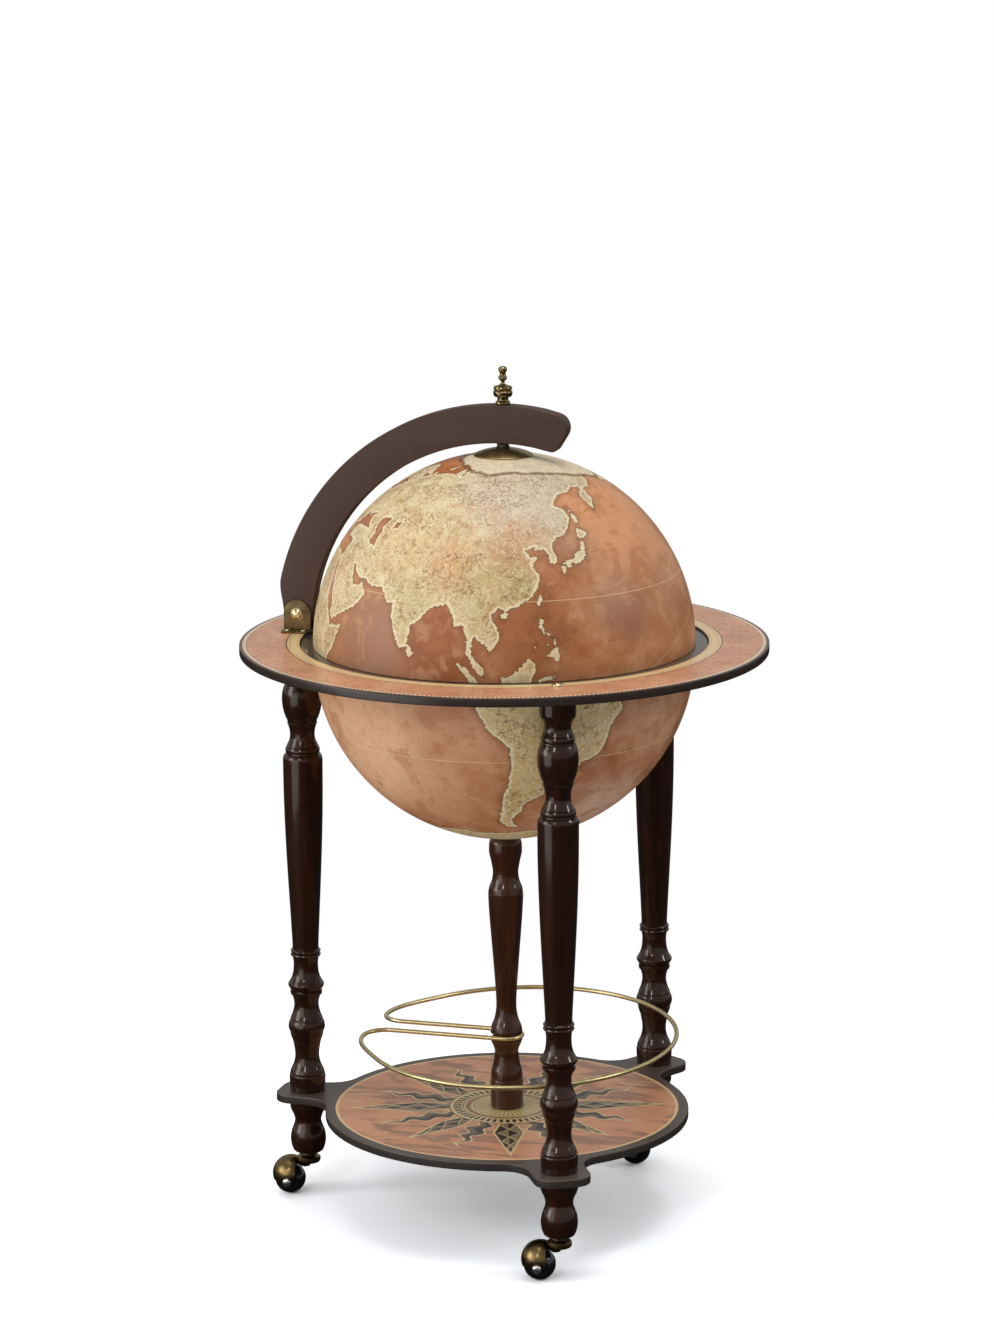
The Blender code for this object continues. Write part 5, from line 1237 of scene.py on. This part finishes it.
def armOutline():
    eye = (-legCircle, pinHeight - armCentre)
    turn = radians(180 - arm["shoulder"])
    outer = arc((0, 0), arm["outer"], 90 - arm["tailOut"], 180 - arm["shoulder"], 72)
    inner = arc((0, 0), arm["inner"], 180 - arm["shoulder"], 90 - arm["tailIn"], 72)
    eyeEdge = arc(eye, arm["eye"], 180, arm["eyeTo"], 40)
    leave = radians(arm["eyeTo"])
    points = rounded(inner[-1], outer[0], outer[6], arm["cornerOut"]) + outer[6:]
    points += blend(outer[-1], (-sin(turn), cos(turn)), eyeEdge[0], (0, -1), 12)
    points += eyeEdge
    points += blend(eyeEdge[-1], (-sin(leave), cos(leave)), inner[0], (sin(turn), -cos(turn)), 12)
    return points + inner[:-1] + rounded(inner[-2], inner[-1], outer[0], arm["cornerIn"])


armPlace = move(z=armCentre) @ Matrix.Rotation(pi / 2, 4, "X")
pinHole = circle(drilled["pin"], 40, (-legCircle, pinHeight - armCentre))
armRaw = board("armRaw", armOutline(), [pinHole], arm["thick"], armBoard, armPlace, arm["edge"])
boreHeight, boreHalf = armCentre + (arm["inner"] + arm["outer"]) / 2, 40 * mm
boreProfile = [(0, boreHalf), (drilled["pivot"], boreHalf), (drilled["pivot"], -boreHalf), (0, -boreHalf)]
bore = turned("armBore", boreProfile, armBoard, 48, matrix=move(z=boreHeight))
globeArm = carved("globeArm", armRaw, [(bore, "DIFFERENCE")], armBoard)
settle(globeArm, "lid_arm", ["meridian_arm"])


def hingeBracket():
    halfY = bracket["cheekIn"] + bracket["cheek"] + bracket["foot"]
    radius = bracket["radius"]
    corners = [(-radius, halfY), (-radius, -halfY), (radius, -halfY), (radius, halfY)]
    base = []
    for i in range(4):
        base += rounded(corners[i], corners[(i + 1) % 4], corners[(i + 2) % 4], bracket["corner"])
    holes = [circle(bracket["middleHole"], 40)]
    holes += [circle(drilled["bracket"], 20, (x + legCircle, y)) for x, y in bracketSpots]
    plate = board("bracketBase", base, holes, bracket["base"], bracketBrassPaintedShade,
                  move(-legCircle, 0, baseTop - bracket["base"] / 2), bracket["edge"])
    foot = baseTop - pinHeight - bracket["overlap"]
    cheekOutline = [(-radius, foot), (radius, foot)] + arc((0, 0), radius, 0, 180, 48)
    cheeks = []
    for sign in (-1, 1):
        place = move(-legCircle, sign * (bracket["cheekIn"] + bracket["cheek"] / 2), pinHeight)
        cheek = board("cheek", cheekOutline, [circle(drilled["pin"], 32)], bracket["cheek"], bracketBrassPaintedShade,
                      place @ Matrix.Rotation(pi / 2, 4, "X"), bracket["edge"])
        cheeks.append((cheek, "UNION"))
    return carved("hingeBracket", plate, cheeks, bracketBrassPaintedShade)


settle(hingeBracket(), "stand", ["hinge_bracket"])

cheekOut = bracket["cheekIn"] + bracket["cheek"] + gap
pinFacing = Matrix.Translation(hinge) @ Matrix.Rotation(pi / 2, 4, "X")


def domed(radius, height, steps=12):
    return [(radius * sin(pi / 2 * i / steps), height * cos(pi / 2 * i / steps)) for i in range(steps + 1)]


pin = {"radius": 3 * mm, "dome": 6 * mm, "domeRise": 2.8 * mm, "flange": 6.5 * mm, "flangeRise": 0.6 * mm,
       "beyond": 5.3 * mm, "edge": 0.4 * mm, "nut": 5.5 * mm, "nutThick": 5 * mm}
pinEnd = -cheekOut - pin["beyond"]
pinSeat = cheekOut + pin["flangeRise"]
pinProfile = [(r, pinSeat + 0.1 * mm + z) for r, z in domed(pin["dome"], pin["domeRise"])]
pinProfile += [(pin["flange"], pinSeat), (pin["flange"], cheekOut), (pin["radius"], cheekOut)]
pinProfile += [(pin["radius"], pinEnd + pin["edge"]), (pin["radius"] - pin["edge"], pinEnd), (0, pinEnd)]
hingePin = turned("hingePin", pinProfile, polishedBrass, 48, matrix=pinFacing)
settle(hingePin, "stand", ["hinge_pin"])


def hexNut(name, radius, thickness, bore, finish, matrix):
    # Six flats, its corners turned down at both faces
    def chamfered(angle, level):
        flat = radius * cos(pi / 6) / cos((angle + pi / 6) % (pi / 3) - pi / 6)
        return min(flat, radius - level * 1.6)

    half, steps, verts, rows = thickness / 2, 72, [], []
    # Height and depth of the chamfer there, or None on the bore
    for height, cut in ((half, None), (half, 0.55 * mm), (half - 0.5 * mm, 0), (-half + 0.5 * mm, 0),
                        (-half, 0.55 * mm), (-half, None)):
        rows.append(list(range(len(verts), len(verts) + steps)))
        for i in range(steps):
            angle = tau * i / steps
            r = bore if cut is None else chamfered(angle, cut)
            verts.append((r * cos(angle), r * sin(angle), height + half))
    return meshPiece(name, banded(name, verts, rows + rows[:1], matrix), finish, 20)


nutPlace = Matrix.Translation(hinge) @ move(y=cheekOut) @ Matrix.Rotation(-pi / 2, 4, "X")
hingeNut = hexNut("hingeNut", pin["nut"], pin["nutThick"], drilled["pin"], polishedBrass, nutPlace)
settle(hingeNut, "stand", ["hinge_nut"])


def fixings(name, model, places, turn, seed, nodes):
    # The model at every place, each turned by its own random angle. The model itself goes.
    mesh = bpy.data.meshes.new(name + "Places")
    mesh.from_pydata(places, [], [])
    piece = fixingGrower.grow(name, linked(name + "Places", mesh), {
        "Fixing": model, "Turn": turn, "Seed": seed, "Material": polishedBrass})
    bpy.data.objects.remove(model)
    settle(piece, "stand", nodes)


screw = {"head": 3 * mm, "rise": 1.3 * mm, "shank": 1.5 * mm, "slot": 0.55 * mm, "slotHalf": 1.9 * mm,
         "seed": 7}
screwRaw = turned("screwRaw", domed(screw["head"], screw["rise"], 8) + [
    (screw["shank"], 0), (screw["shank"], -10.4 * mm), (0, -10.8 * mm)], polishedBrass, 32)
slots = []
for turn in (0, pi / 2):
    corner = (screw["slotHalf"], screw["slot"] / 2, 3 * mm)
    slot = block("slot", (-corner[0], -corner[1], 0.6 * mm), corner, Matrix.Rotation(turn, 4, "Z"))
    slots.append((slot, "DIFFERENCE"))
fixings("bracketScrews", carved("screwModel", screwRaw, slots, polishedBrass),
        [(x, y, baseTop + gap) for x, y in bracketSpots], pi, screw["seed"],
        [f"bracket_screw_{i}" for i in range(1, 5)])

bolt = {"head": 6 * mm, "rise": 3 * mm, "shank": 3 * mm, "depth": 44 * mm, "flat": 1.4 * mm}
boltShank = [(bolt["shank"], 0), (bolt["shank"], 1 * mm - bolt["depth"]),
             (bolt["shank"] - 0.8 * mm, -bolt["depth"]), (0, -bolt["depth"])]
boltModel = turned("boltModel", domed(bolt["head"], bolt["rise"]) + boltShank, polishedBrass, 40)
boltPlaces = [legPlaces[side] + Vector((0, 0, ringTop + gap)) for side in ("front", "rear")]
fixings("ringBolts", boltModel, boltPlaces, 0.0, 1, ["front_leg_bolt", "rear_leg_bolt"])
flatBolt = [(0, bolt["flat"]), (bolt["head"] - 0.6 * mm, bolt["flat"]),
            (bolt["head"], bolt["flat"] - 0.5 * mm), (bolt["head"], 0)] + boltShank
boltPlace = Matrix.Translation(legPlaces["left"]) @ move(z=ringTop + gap)
settle(turned("leftBolt", flatBolt, polishedBrass, 40, matrix=boltPlace), "stand", ["left_leg_bolt"])
print("arm and hinge made")


# Pole: cap, hub, spacer, nut and finial

pole = {"cap": 31 * mm, "rise": 5.8 * mm, "edge": 0.8 * mm, "spacer": 7 * mm, "hub": 22 * mm, "nut": 9 * mm,
        "finialBore": 12 * mm, "bore": drilled["pivot"]}
finialProfile = [(0, 7.2, 1), (0.9, 7.7), (2.6, 7.5, 1), (4.4, 5.8), (7.4, 6.0, 1), (8.2, 8.8), (11, 10.0),
                 (13.2, 10.0), (14.8, 8.6, 1), (16, 9.7), (18.6, 9.3, 1), (20, 4.6), (21.6, 2.4), (24, 2.2),
                 (25.7, 3.8), (27.6, 4.7), (30.8, 3.2), (33, 3.2, 1), (34.2, 4.0), (36, 4.7), (38, 4.0),
                 (39.4, 2.0), (39.7, 0.0)]


def onGlobe(radius):
    return sqrt(globeRadius**2 - radius**2) - globeRadius


capTop = pole["rise"] + gap
capProfile = [(pole["bore"], capTop), (pole["spacer"] + 0.3 * mm, capTop)]
edgeHeight = onGlobe(pole["cap"]) + gap + pole["edge"]
for i in range(1, 25):
    share = pole["spacer"] / pole["cap"] + (1 - pole["spacer"] / pole["cap"]) * i / 24
    rise = cos(pi / 2 * share) ** 0.8 if i < 24 else 0
    capProfile.append((pole["cap"] * share, edgeHeight + (capTop - edgeHeight) * rise))
for i in range(13):
    radius = pole["cap"] - (pole["cap"] - pole["bore"]) * i / 12
    capProfile.append((radius, onGlobe(radius) + gap))
capPlace = Matrix.Translation(lidCentre) @ move(z=globeRadius)
settle(turned("poleCap", capProfile, capBrassPaintedLight, 96, ring=True, matrix=capPlace), "lid_globe", ["pole_cap"])

low, high = heights("pole_hub")
hubProfile = [(pole["hub"], high - 0.2 * mm), (pole["hub"], low + 1.2 * mm), (pole["hub"] - 1.2 * mm, low),
              (pole["bore"], low), (pole["bore"], high)]
settle(turned("poleHub", hubProfile, plainWood, 64, ring=True), "lid_globe", ["pole_hub"])

low, high = heights("pivot_spacer")
spacerProfile = [(pole["spacer"] - 0.6 * mm, high), (pole["spacer"], high - 0.6 * mm),
                 (pole["spacer"] - 0.9 * mm, (low + high) / 2), (pole["spacer"], low + 0.6 * mm),
                 (pole["spacer"] - 0.6 * mm, low), (pole["bore"], low), (pole["bore"], high)]
spacer = turned("pivotSpacer", spacerProfile, seatPlastic, 48, ring=True)
settle(spacer, "lid_arm", ["pivot_spacer"])

low, high = heights("pivot_nut")
pivotNut = hexNut("pivotNut", pole["nut"], high - low, pole["bore"], steel, move(z=low))
settle(pivotNut, "lid_arm", ["pivot_nut"])

low, high = heights("finial")
finialPoints = [(radius, low + height) for height, radius in softened(along(finialProfile), 0.5 * mm)][::-1]
finialPoints[0] = (0, finialPoints[0][1])
finialPoints += [(pole["bore"], low), (pole["bore"], low + pole["finialBore"]), (0, low + pole["finialBore"])]
settle(turned("finial", finialPoints, agedBrass, 64, angle=28), "lid_arm", ["finial"])
print("pole made")


# Casters, each built with its swivel axis on Z and its wheel trailing along +X

caster = {
    "heading": 187, "wheel": 16.7 * mm, "half": 13 * mm, "axle": 2 * mm, "trail": 20.6 * mm,
    "hood": 20 * mm, "hoodTrail": 19.8 * mm, "hoodRise": 5.5 * mm, "hoodWall": 1.2 * mm,
    "hoodFrom": -3, "hoodAhead": 8.4 * mm, "plate": 12.8 * mm, "plateThick": 6.6 * mm,
    "height": 42.7 * mm, "hornDrop": 8 * mm, "ear": 5.2 * mm, "stemHole": 4.3 * mm, "stemDepth": 5 * mm,
    "askew": 0.05, "dish": 5 * mm, "dishDepth": 1.2 * mm, "cap": 4.6 * mm, "capRise": 1.8 * mm,
}
hubHeight = caster["wheel"]
hoodHeight = hubHeight + caster["hoodRise"]
aboutY = Matrix.Rotation(pi / 2, 4, "X")


def ballProfile(radius, half, steps):
    top = atan2(half, sqrt(radius**2 - half**2))
    angles = [top * (1 - 2 * i / steps) for i in range(steps + 1)]
    return [(radius * cos(a), radius * sin(a)) for a in angles]


def fullBall(name, radius, centre, steps=64):
    angles = [pi * i / (steps // 2) for i in range(1, steps // 2)]
    profile = [(0, radius)] + [(radius * sin(a), radius * cos(a)) for a in angles] + [(0, -radius)]
    return turned(name, profile, antiqueBrass, steps, matrix=Matrix.Translation(centre) @ aboutY)


def slabBelow(angle, ahead=0.0):
    # A block whose upper face passes through the axle, or a point ahead of it, at this angle
    size = 2 * caster["hood"]
    matrix = move(caster["trail"] - ahead, 0, hubHeight) @ Matrix.Rotation(-radians(angle), 4, "Y")
    return block("slab", (-size, -size, -2 * size), (size, size, 0), matrix)


def cylinder(name, radius, low, high, matrix, steps=48, edge=0.0):
    profile = [(0, high), (radius, high), (radius, low), (0, low)]
    if edge:
        side = [(radius, high - edge), (radius, low + edge)]
        profile[1:3] = [(radius - edge, high), *side, (radius - edge, low)]
    return turned(name, profile, antiqueBrass, steps, matrix=matrix)


def hoodModel():
    plateTop = caster["height"] - gap
    plateLow = plateTop - caster["plateThick"]
    axle = move(caster["trail"], 0, hubHeight) @ aboutY
    centre = (caster["hoodTrail"], 0, hoodHeight)
    plate, drop = caster["plate"], caster["hornDrop"]
    platePoints = softened([(plateTop, plate - 0.8 * mm), (plateTop - 0.8 * mm, plate, 1),
                            (plateLow + 2.4 * mm, plate), (plateLow + 0.9 * mm, plate - 0.7 * mm),
                            (plateLow, plate - 2.2 * mm, 1)], 0.4 * mm)
    plateProfile = [(0, plateTop)] + [(r, z) for z, r in platePoints] + [(0, plateLow)]
    hornTop = plateTop - caster["plateThick"] / 2
    hornProfile = [(0, hornTop), (plate * 0.72, hornTop), (plate * 0.5, hornTop - drop * 0.6),
                   (plate * 0.4, hornTop - drop), (0, hornTop - drop)]
    earIn, earOut = caster["half"] + 2 * gap, caster["hood"] + gap
    room = [(0, caster["half"] + gap)] + ballProfile(caster["wheel"] + 2 * gap, caster["half"] + gap, 24)
    stemSeat = plateTop - caster["stemDepth"]
    # Turned a little, so that a drill's facets don't line up with the others
    askew = Matrix.Rotation(caster["askew"], 4, "Z")
    cuts = [
        (fullBall("cavity", caster["hood"] - caster["hoodWall"], centre), "DIFFERENCE"),
        (slabBelow(caster["hoodFrom"]), "DIFFERENCE"),
        (slabBelow(270, caster["hoodAhead"]), "DIFFERENCE"),
        (turned("plate", plateProfile, antiqueBrass, 64), "UNION"),
        (turned("horn", hornProfile, antiqueBrass, 48, matrix=move(plate * 0.3)), "UNION"),
        (cylinder("ear", caster["ear"], earIn, earOut, axle, edge=0.3 * mm), "UNION"),
        (cylinder("ear", caster["ear"], -earOut, -earIn, axle, edge=0.3 * mm), "UNION"),
        (turned("room", room + [(0, -caster["half"] - gap)], antiqueBrass, 48, matrix=axle), "DIFFERENCE"),
        (cylinder("drill", caster["axle"] + gap, -40 * mm, 40 * mm, axle @ askew, 32), "DIFFERENCE"),
        (cylinder("stemHole", caster["stemHole"], stemSeat, caster["height"] + gap, askew, 32), "DIFFERENCE"),
    ]
    return carved("hoodModel", fullBall("hoodRaw", caster["hood"], centre), cuts, antiqueBrass, 30)


def wheelProfile():
    # Flat sides with a dished centre, and a softened edge to the ball
    half, bore = caster["half"], caster["axle"] + gap
    side = ballProfile(caster["wheel"], half - 0.4 * mm, 40)
    flat = side[0][0]
    sunk = half - caster["dishDepth"]
    dish = [(bore, sunk), (caster["dish"], sunk), (caster["dish"] + 0.6 * mm, half), (flat - 0.9 * mm, half),
            (flat - 0.3 * mm, half - 0.12 * mm)]
    return dish + side + [(r, -z) for r, z in dish[::-1]]


def axleProfile():
    face = caster["hood"] + 2 * gap
    cap = [(r, face + z) for r, z in domed(caster["cap"], caster["capRise"])] + [(caster["axle"], face)]
    return cap + [(r, -z) for r, z in cap[::-1]]


hoodPiece = hoodModel()
heading = radians(caster["heading"])
for side, place in legPlaces.items():
    stand = Matrix.Translation(place) @ Matrix.Rotation(heading, 4, "Z")
    hub = stand @ move(caster["trail"], 0, hubHeight) @ aboutY
    mesh = hoodPiece.data.copy()
    mesh.transform(stand)
    settle(linked(side + "CasterHood", mesh), side + "_swivel", [side + "_caster_hood"])
    wheel = turned(side + "CasterWheel", wheelProfile(), wheelPlastic, 72, ring=True, matrix=hub)
    settle(wheel, side + "_wheel", [side + "_caster_wheel"])
    axle = turned(side + "CasterAxle", axleProfile(), chrome, 40, matrix=hub)
    settle(axle, side + "_swivel", [side + "_caster_axle"])
bpy.data.objects.remove(hoodPiece)

# Plain round fixings keep their solids and get a finish
kept = ["pivot_rod", "column_screw", "bowl_screw"]
kept += [side + part for side in legAzimuths for part in ("_leg_stud", "_caster_socket", "_caster_stem")]
for name in kept:
    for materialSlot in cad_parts[name].material_slots:
        materialSlot.material = steel
print("casters made")


# Floor, lights and camera

studio = {"floor": (0.67, 0.685, 0.705, 1), "floorHalf": 9, "floorShine": 0.04, "fadeAt": (-0.15, -0.04),
          "fadeFrom": 0.27, "fadeTo": 0.84, "worldLight": 0.42, "worldShine": 0.4}
# Place, aim, width and height, power
lamps = {
    "leftSoftbox": ((-3.0, -1.9, 1.5), (0, 0, 0.5), (1.5, 2.0), 34),
    "lowSoftbox": ((-0.86, -1.24, 0.42), (0, 0, 0.4), (1.1, 0.8), 3.8),
    "frontStrip": ((-0.3, -3.7, 2.5), (0, 0, 0.5), (0.3, 0.9), 16),
    "rightStrip": ((3.3, 0.3, 2.2), (0, 0, 0.45), (0.25, 1.0), 16),
    "topSoftbox": ((0.2, -0.3, 3.4), (0, 0, 0), (1.8, 1.8), 34),
}


def floorFinish():
    # Takes the shadow and fades to pure white away from the object. The camera sees it three times as bright.
    white = Finish("studioFloor", {"Roughness": 0.6, "Base Color": studio["floor"]})
    x, y = white.axes()[:2]
    x, y = x - studio["fadeAt"][0], y - studio["fadeAt"][1]
    away = ((x * x + y * y) ** 0.5).between(studio["fadeFrom"], studio["fadeTo"])
    seen = white.add("ShaderNodeLightPath", output="Is Camera Ray")
    lit = Wire(white, white.shader.outputs[0])
    dull = white.add("ShaderNodeBsdfDiffuse", values={"Color": (studio["floorShine"],) * 3 + (1,)})
    plain = white.add("ShaderNodeMixShader", values={0: seen.beside("Is Glossy Ray"), 1: lit, 2: dull})
    lifted = lit
    for i in range(2):
        lifted = white.add("ShaderNodeAddShader", values={0: lifted, 1: lit})
    near = white.add("ShaderNodeMixShader", values={0: seen, 1: plain, 2: lifted})
    glow = white.add("ShaderNodeEmission", values={"Color": (1, 1, 1, 1), "Strength": 1.0})
    whole = white.add("ShaderNodeMixShader", values={0: away * seen, 1: near, 2: glow})
    feed(white.tree, white.tree.nodes["Material Output"].inputs["Surface"], whole)
    return white.material


half = studio["floorHalf"]
floorMesh = bpy.data.meshes.new("studioFloor")
floorCorners = [(-half, -half, 0), (half, -half, 0), (half, half, 0), (-half, half, 0)]
floorMesh.from_pydata(floorCorners, [], [(0, 1, 2, 3)])
floorMesh.materials.append(floorFinish())
floor = linked("studioFloor", floorMesh)


def areaLamp(name, place, target, size, power):
    light = bpy.data.lights.new(name, "AREA")
    light.shape = "RECTANGLE"
    light.size, light.size_y = size
    light.energy = power
    lamp = linked(name, light)
    lamp.location = place
    lamp.rotation_mode = "QUATERNION"
    lamp.rotation_quaternion = (Vector(target) - Vector(place)).to_track_quat("-Z", "Y")


for name, settings in lamps.items():
    areaLamp(name, *settings)

world = bpy.data.worlds.new("studioWorld")
bpy.context.scene.world = world
world.use_nodes = True


def worldNode(kind, values):
    return addNode(world.node_tree, kind, None, values).outputs[0]


def plainWorld(strength):
    return worldNode("ShaderNodeBackground", {"Color": (1, 1, 1, 1), "Strength": strength})


# White behind the object, and dimmer where it lights it or is mirrored in it
path = world.node_tree.nodes.new("ShaderNodeLightPath").outputs
mirrored = worldNode("ShaderNodeMixShader", {
    0: path["Is Glossy Ray"], 1: plainWorld(studio["worldLight"]), 2: plainWorld(studio["worldShine"])})
through = worldNode("ShaderNodeMixShader", {0: path["Is Transmission Ray"], 1: mirrored, 2: plainWorld(1.0)})
whole = worldNode("ShaderNodeMixShader", {0: path["Is Camera Ray"], 1: through, 2: plainWorld(1.0)})
feed(world.node_tree, world.node_tree.nodes["World Output"].inputs["Surface"], whole)

view = {"place": (1.3356, -4.5624, 1.6397), "azimuth": 106.41, "down": 0.2148, "roll": -0.0061,
        "lens": 126.29}
azimuth = radians(view["azimuth"])
ahead = Vector((cos(azimuth) * cos(view["down"]), sin(azimuth) * cos(view["down"]), -sin(view["down"])))
right = Vector((sin(azimuth), -cos(azimuth), 0))
upward = right.cross(ahead)
sideways = right * cos(view["roll"]) + upward * sin(view["roll"])
upward = upward * cos(view["roll"]) - right * sin(view["roll"])
cameraData = bpy.data.cameras.new("photoCamera")
cameraData.sensor_fit = "AUTO"
cameraData.sensor_width = 36
cameraData.lens = view["lens"]
camera = linked("photoCamera", cameraData)
facing = Matrix((sideways, upward, -ahead)).transposed().to_4x4()
camera.matrix_world = Matrix.Translation(view["place"]) @ facing
bpy.context.scene.camera = camera
bpy.context.scene.view_settings.view_transform = "Standard"
print("studio made")
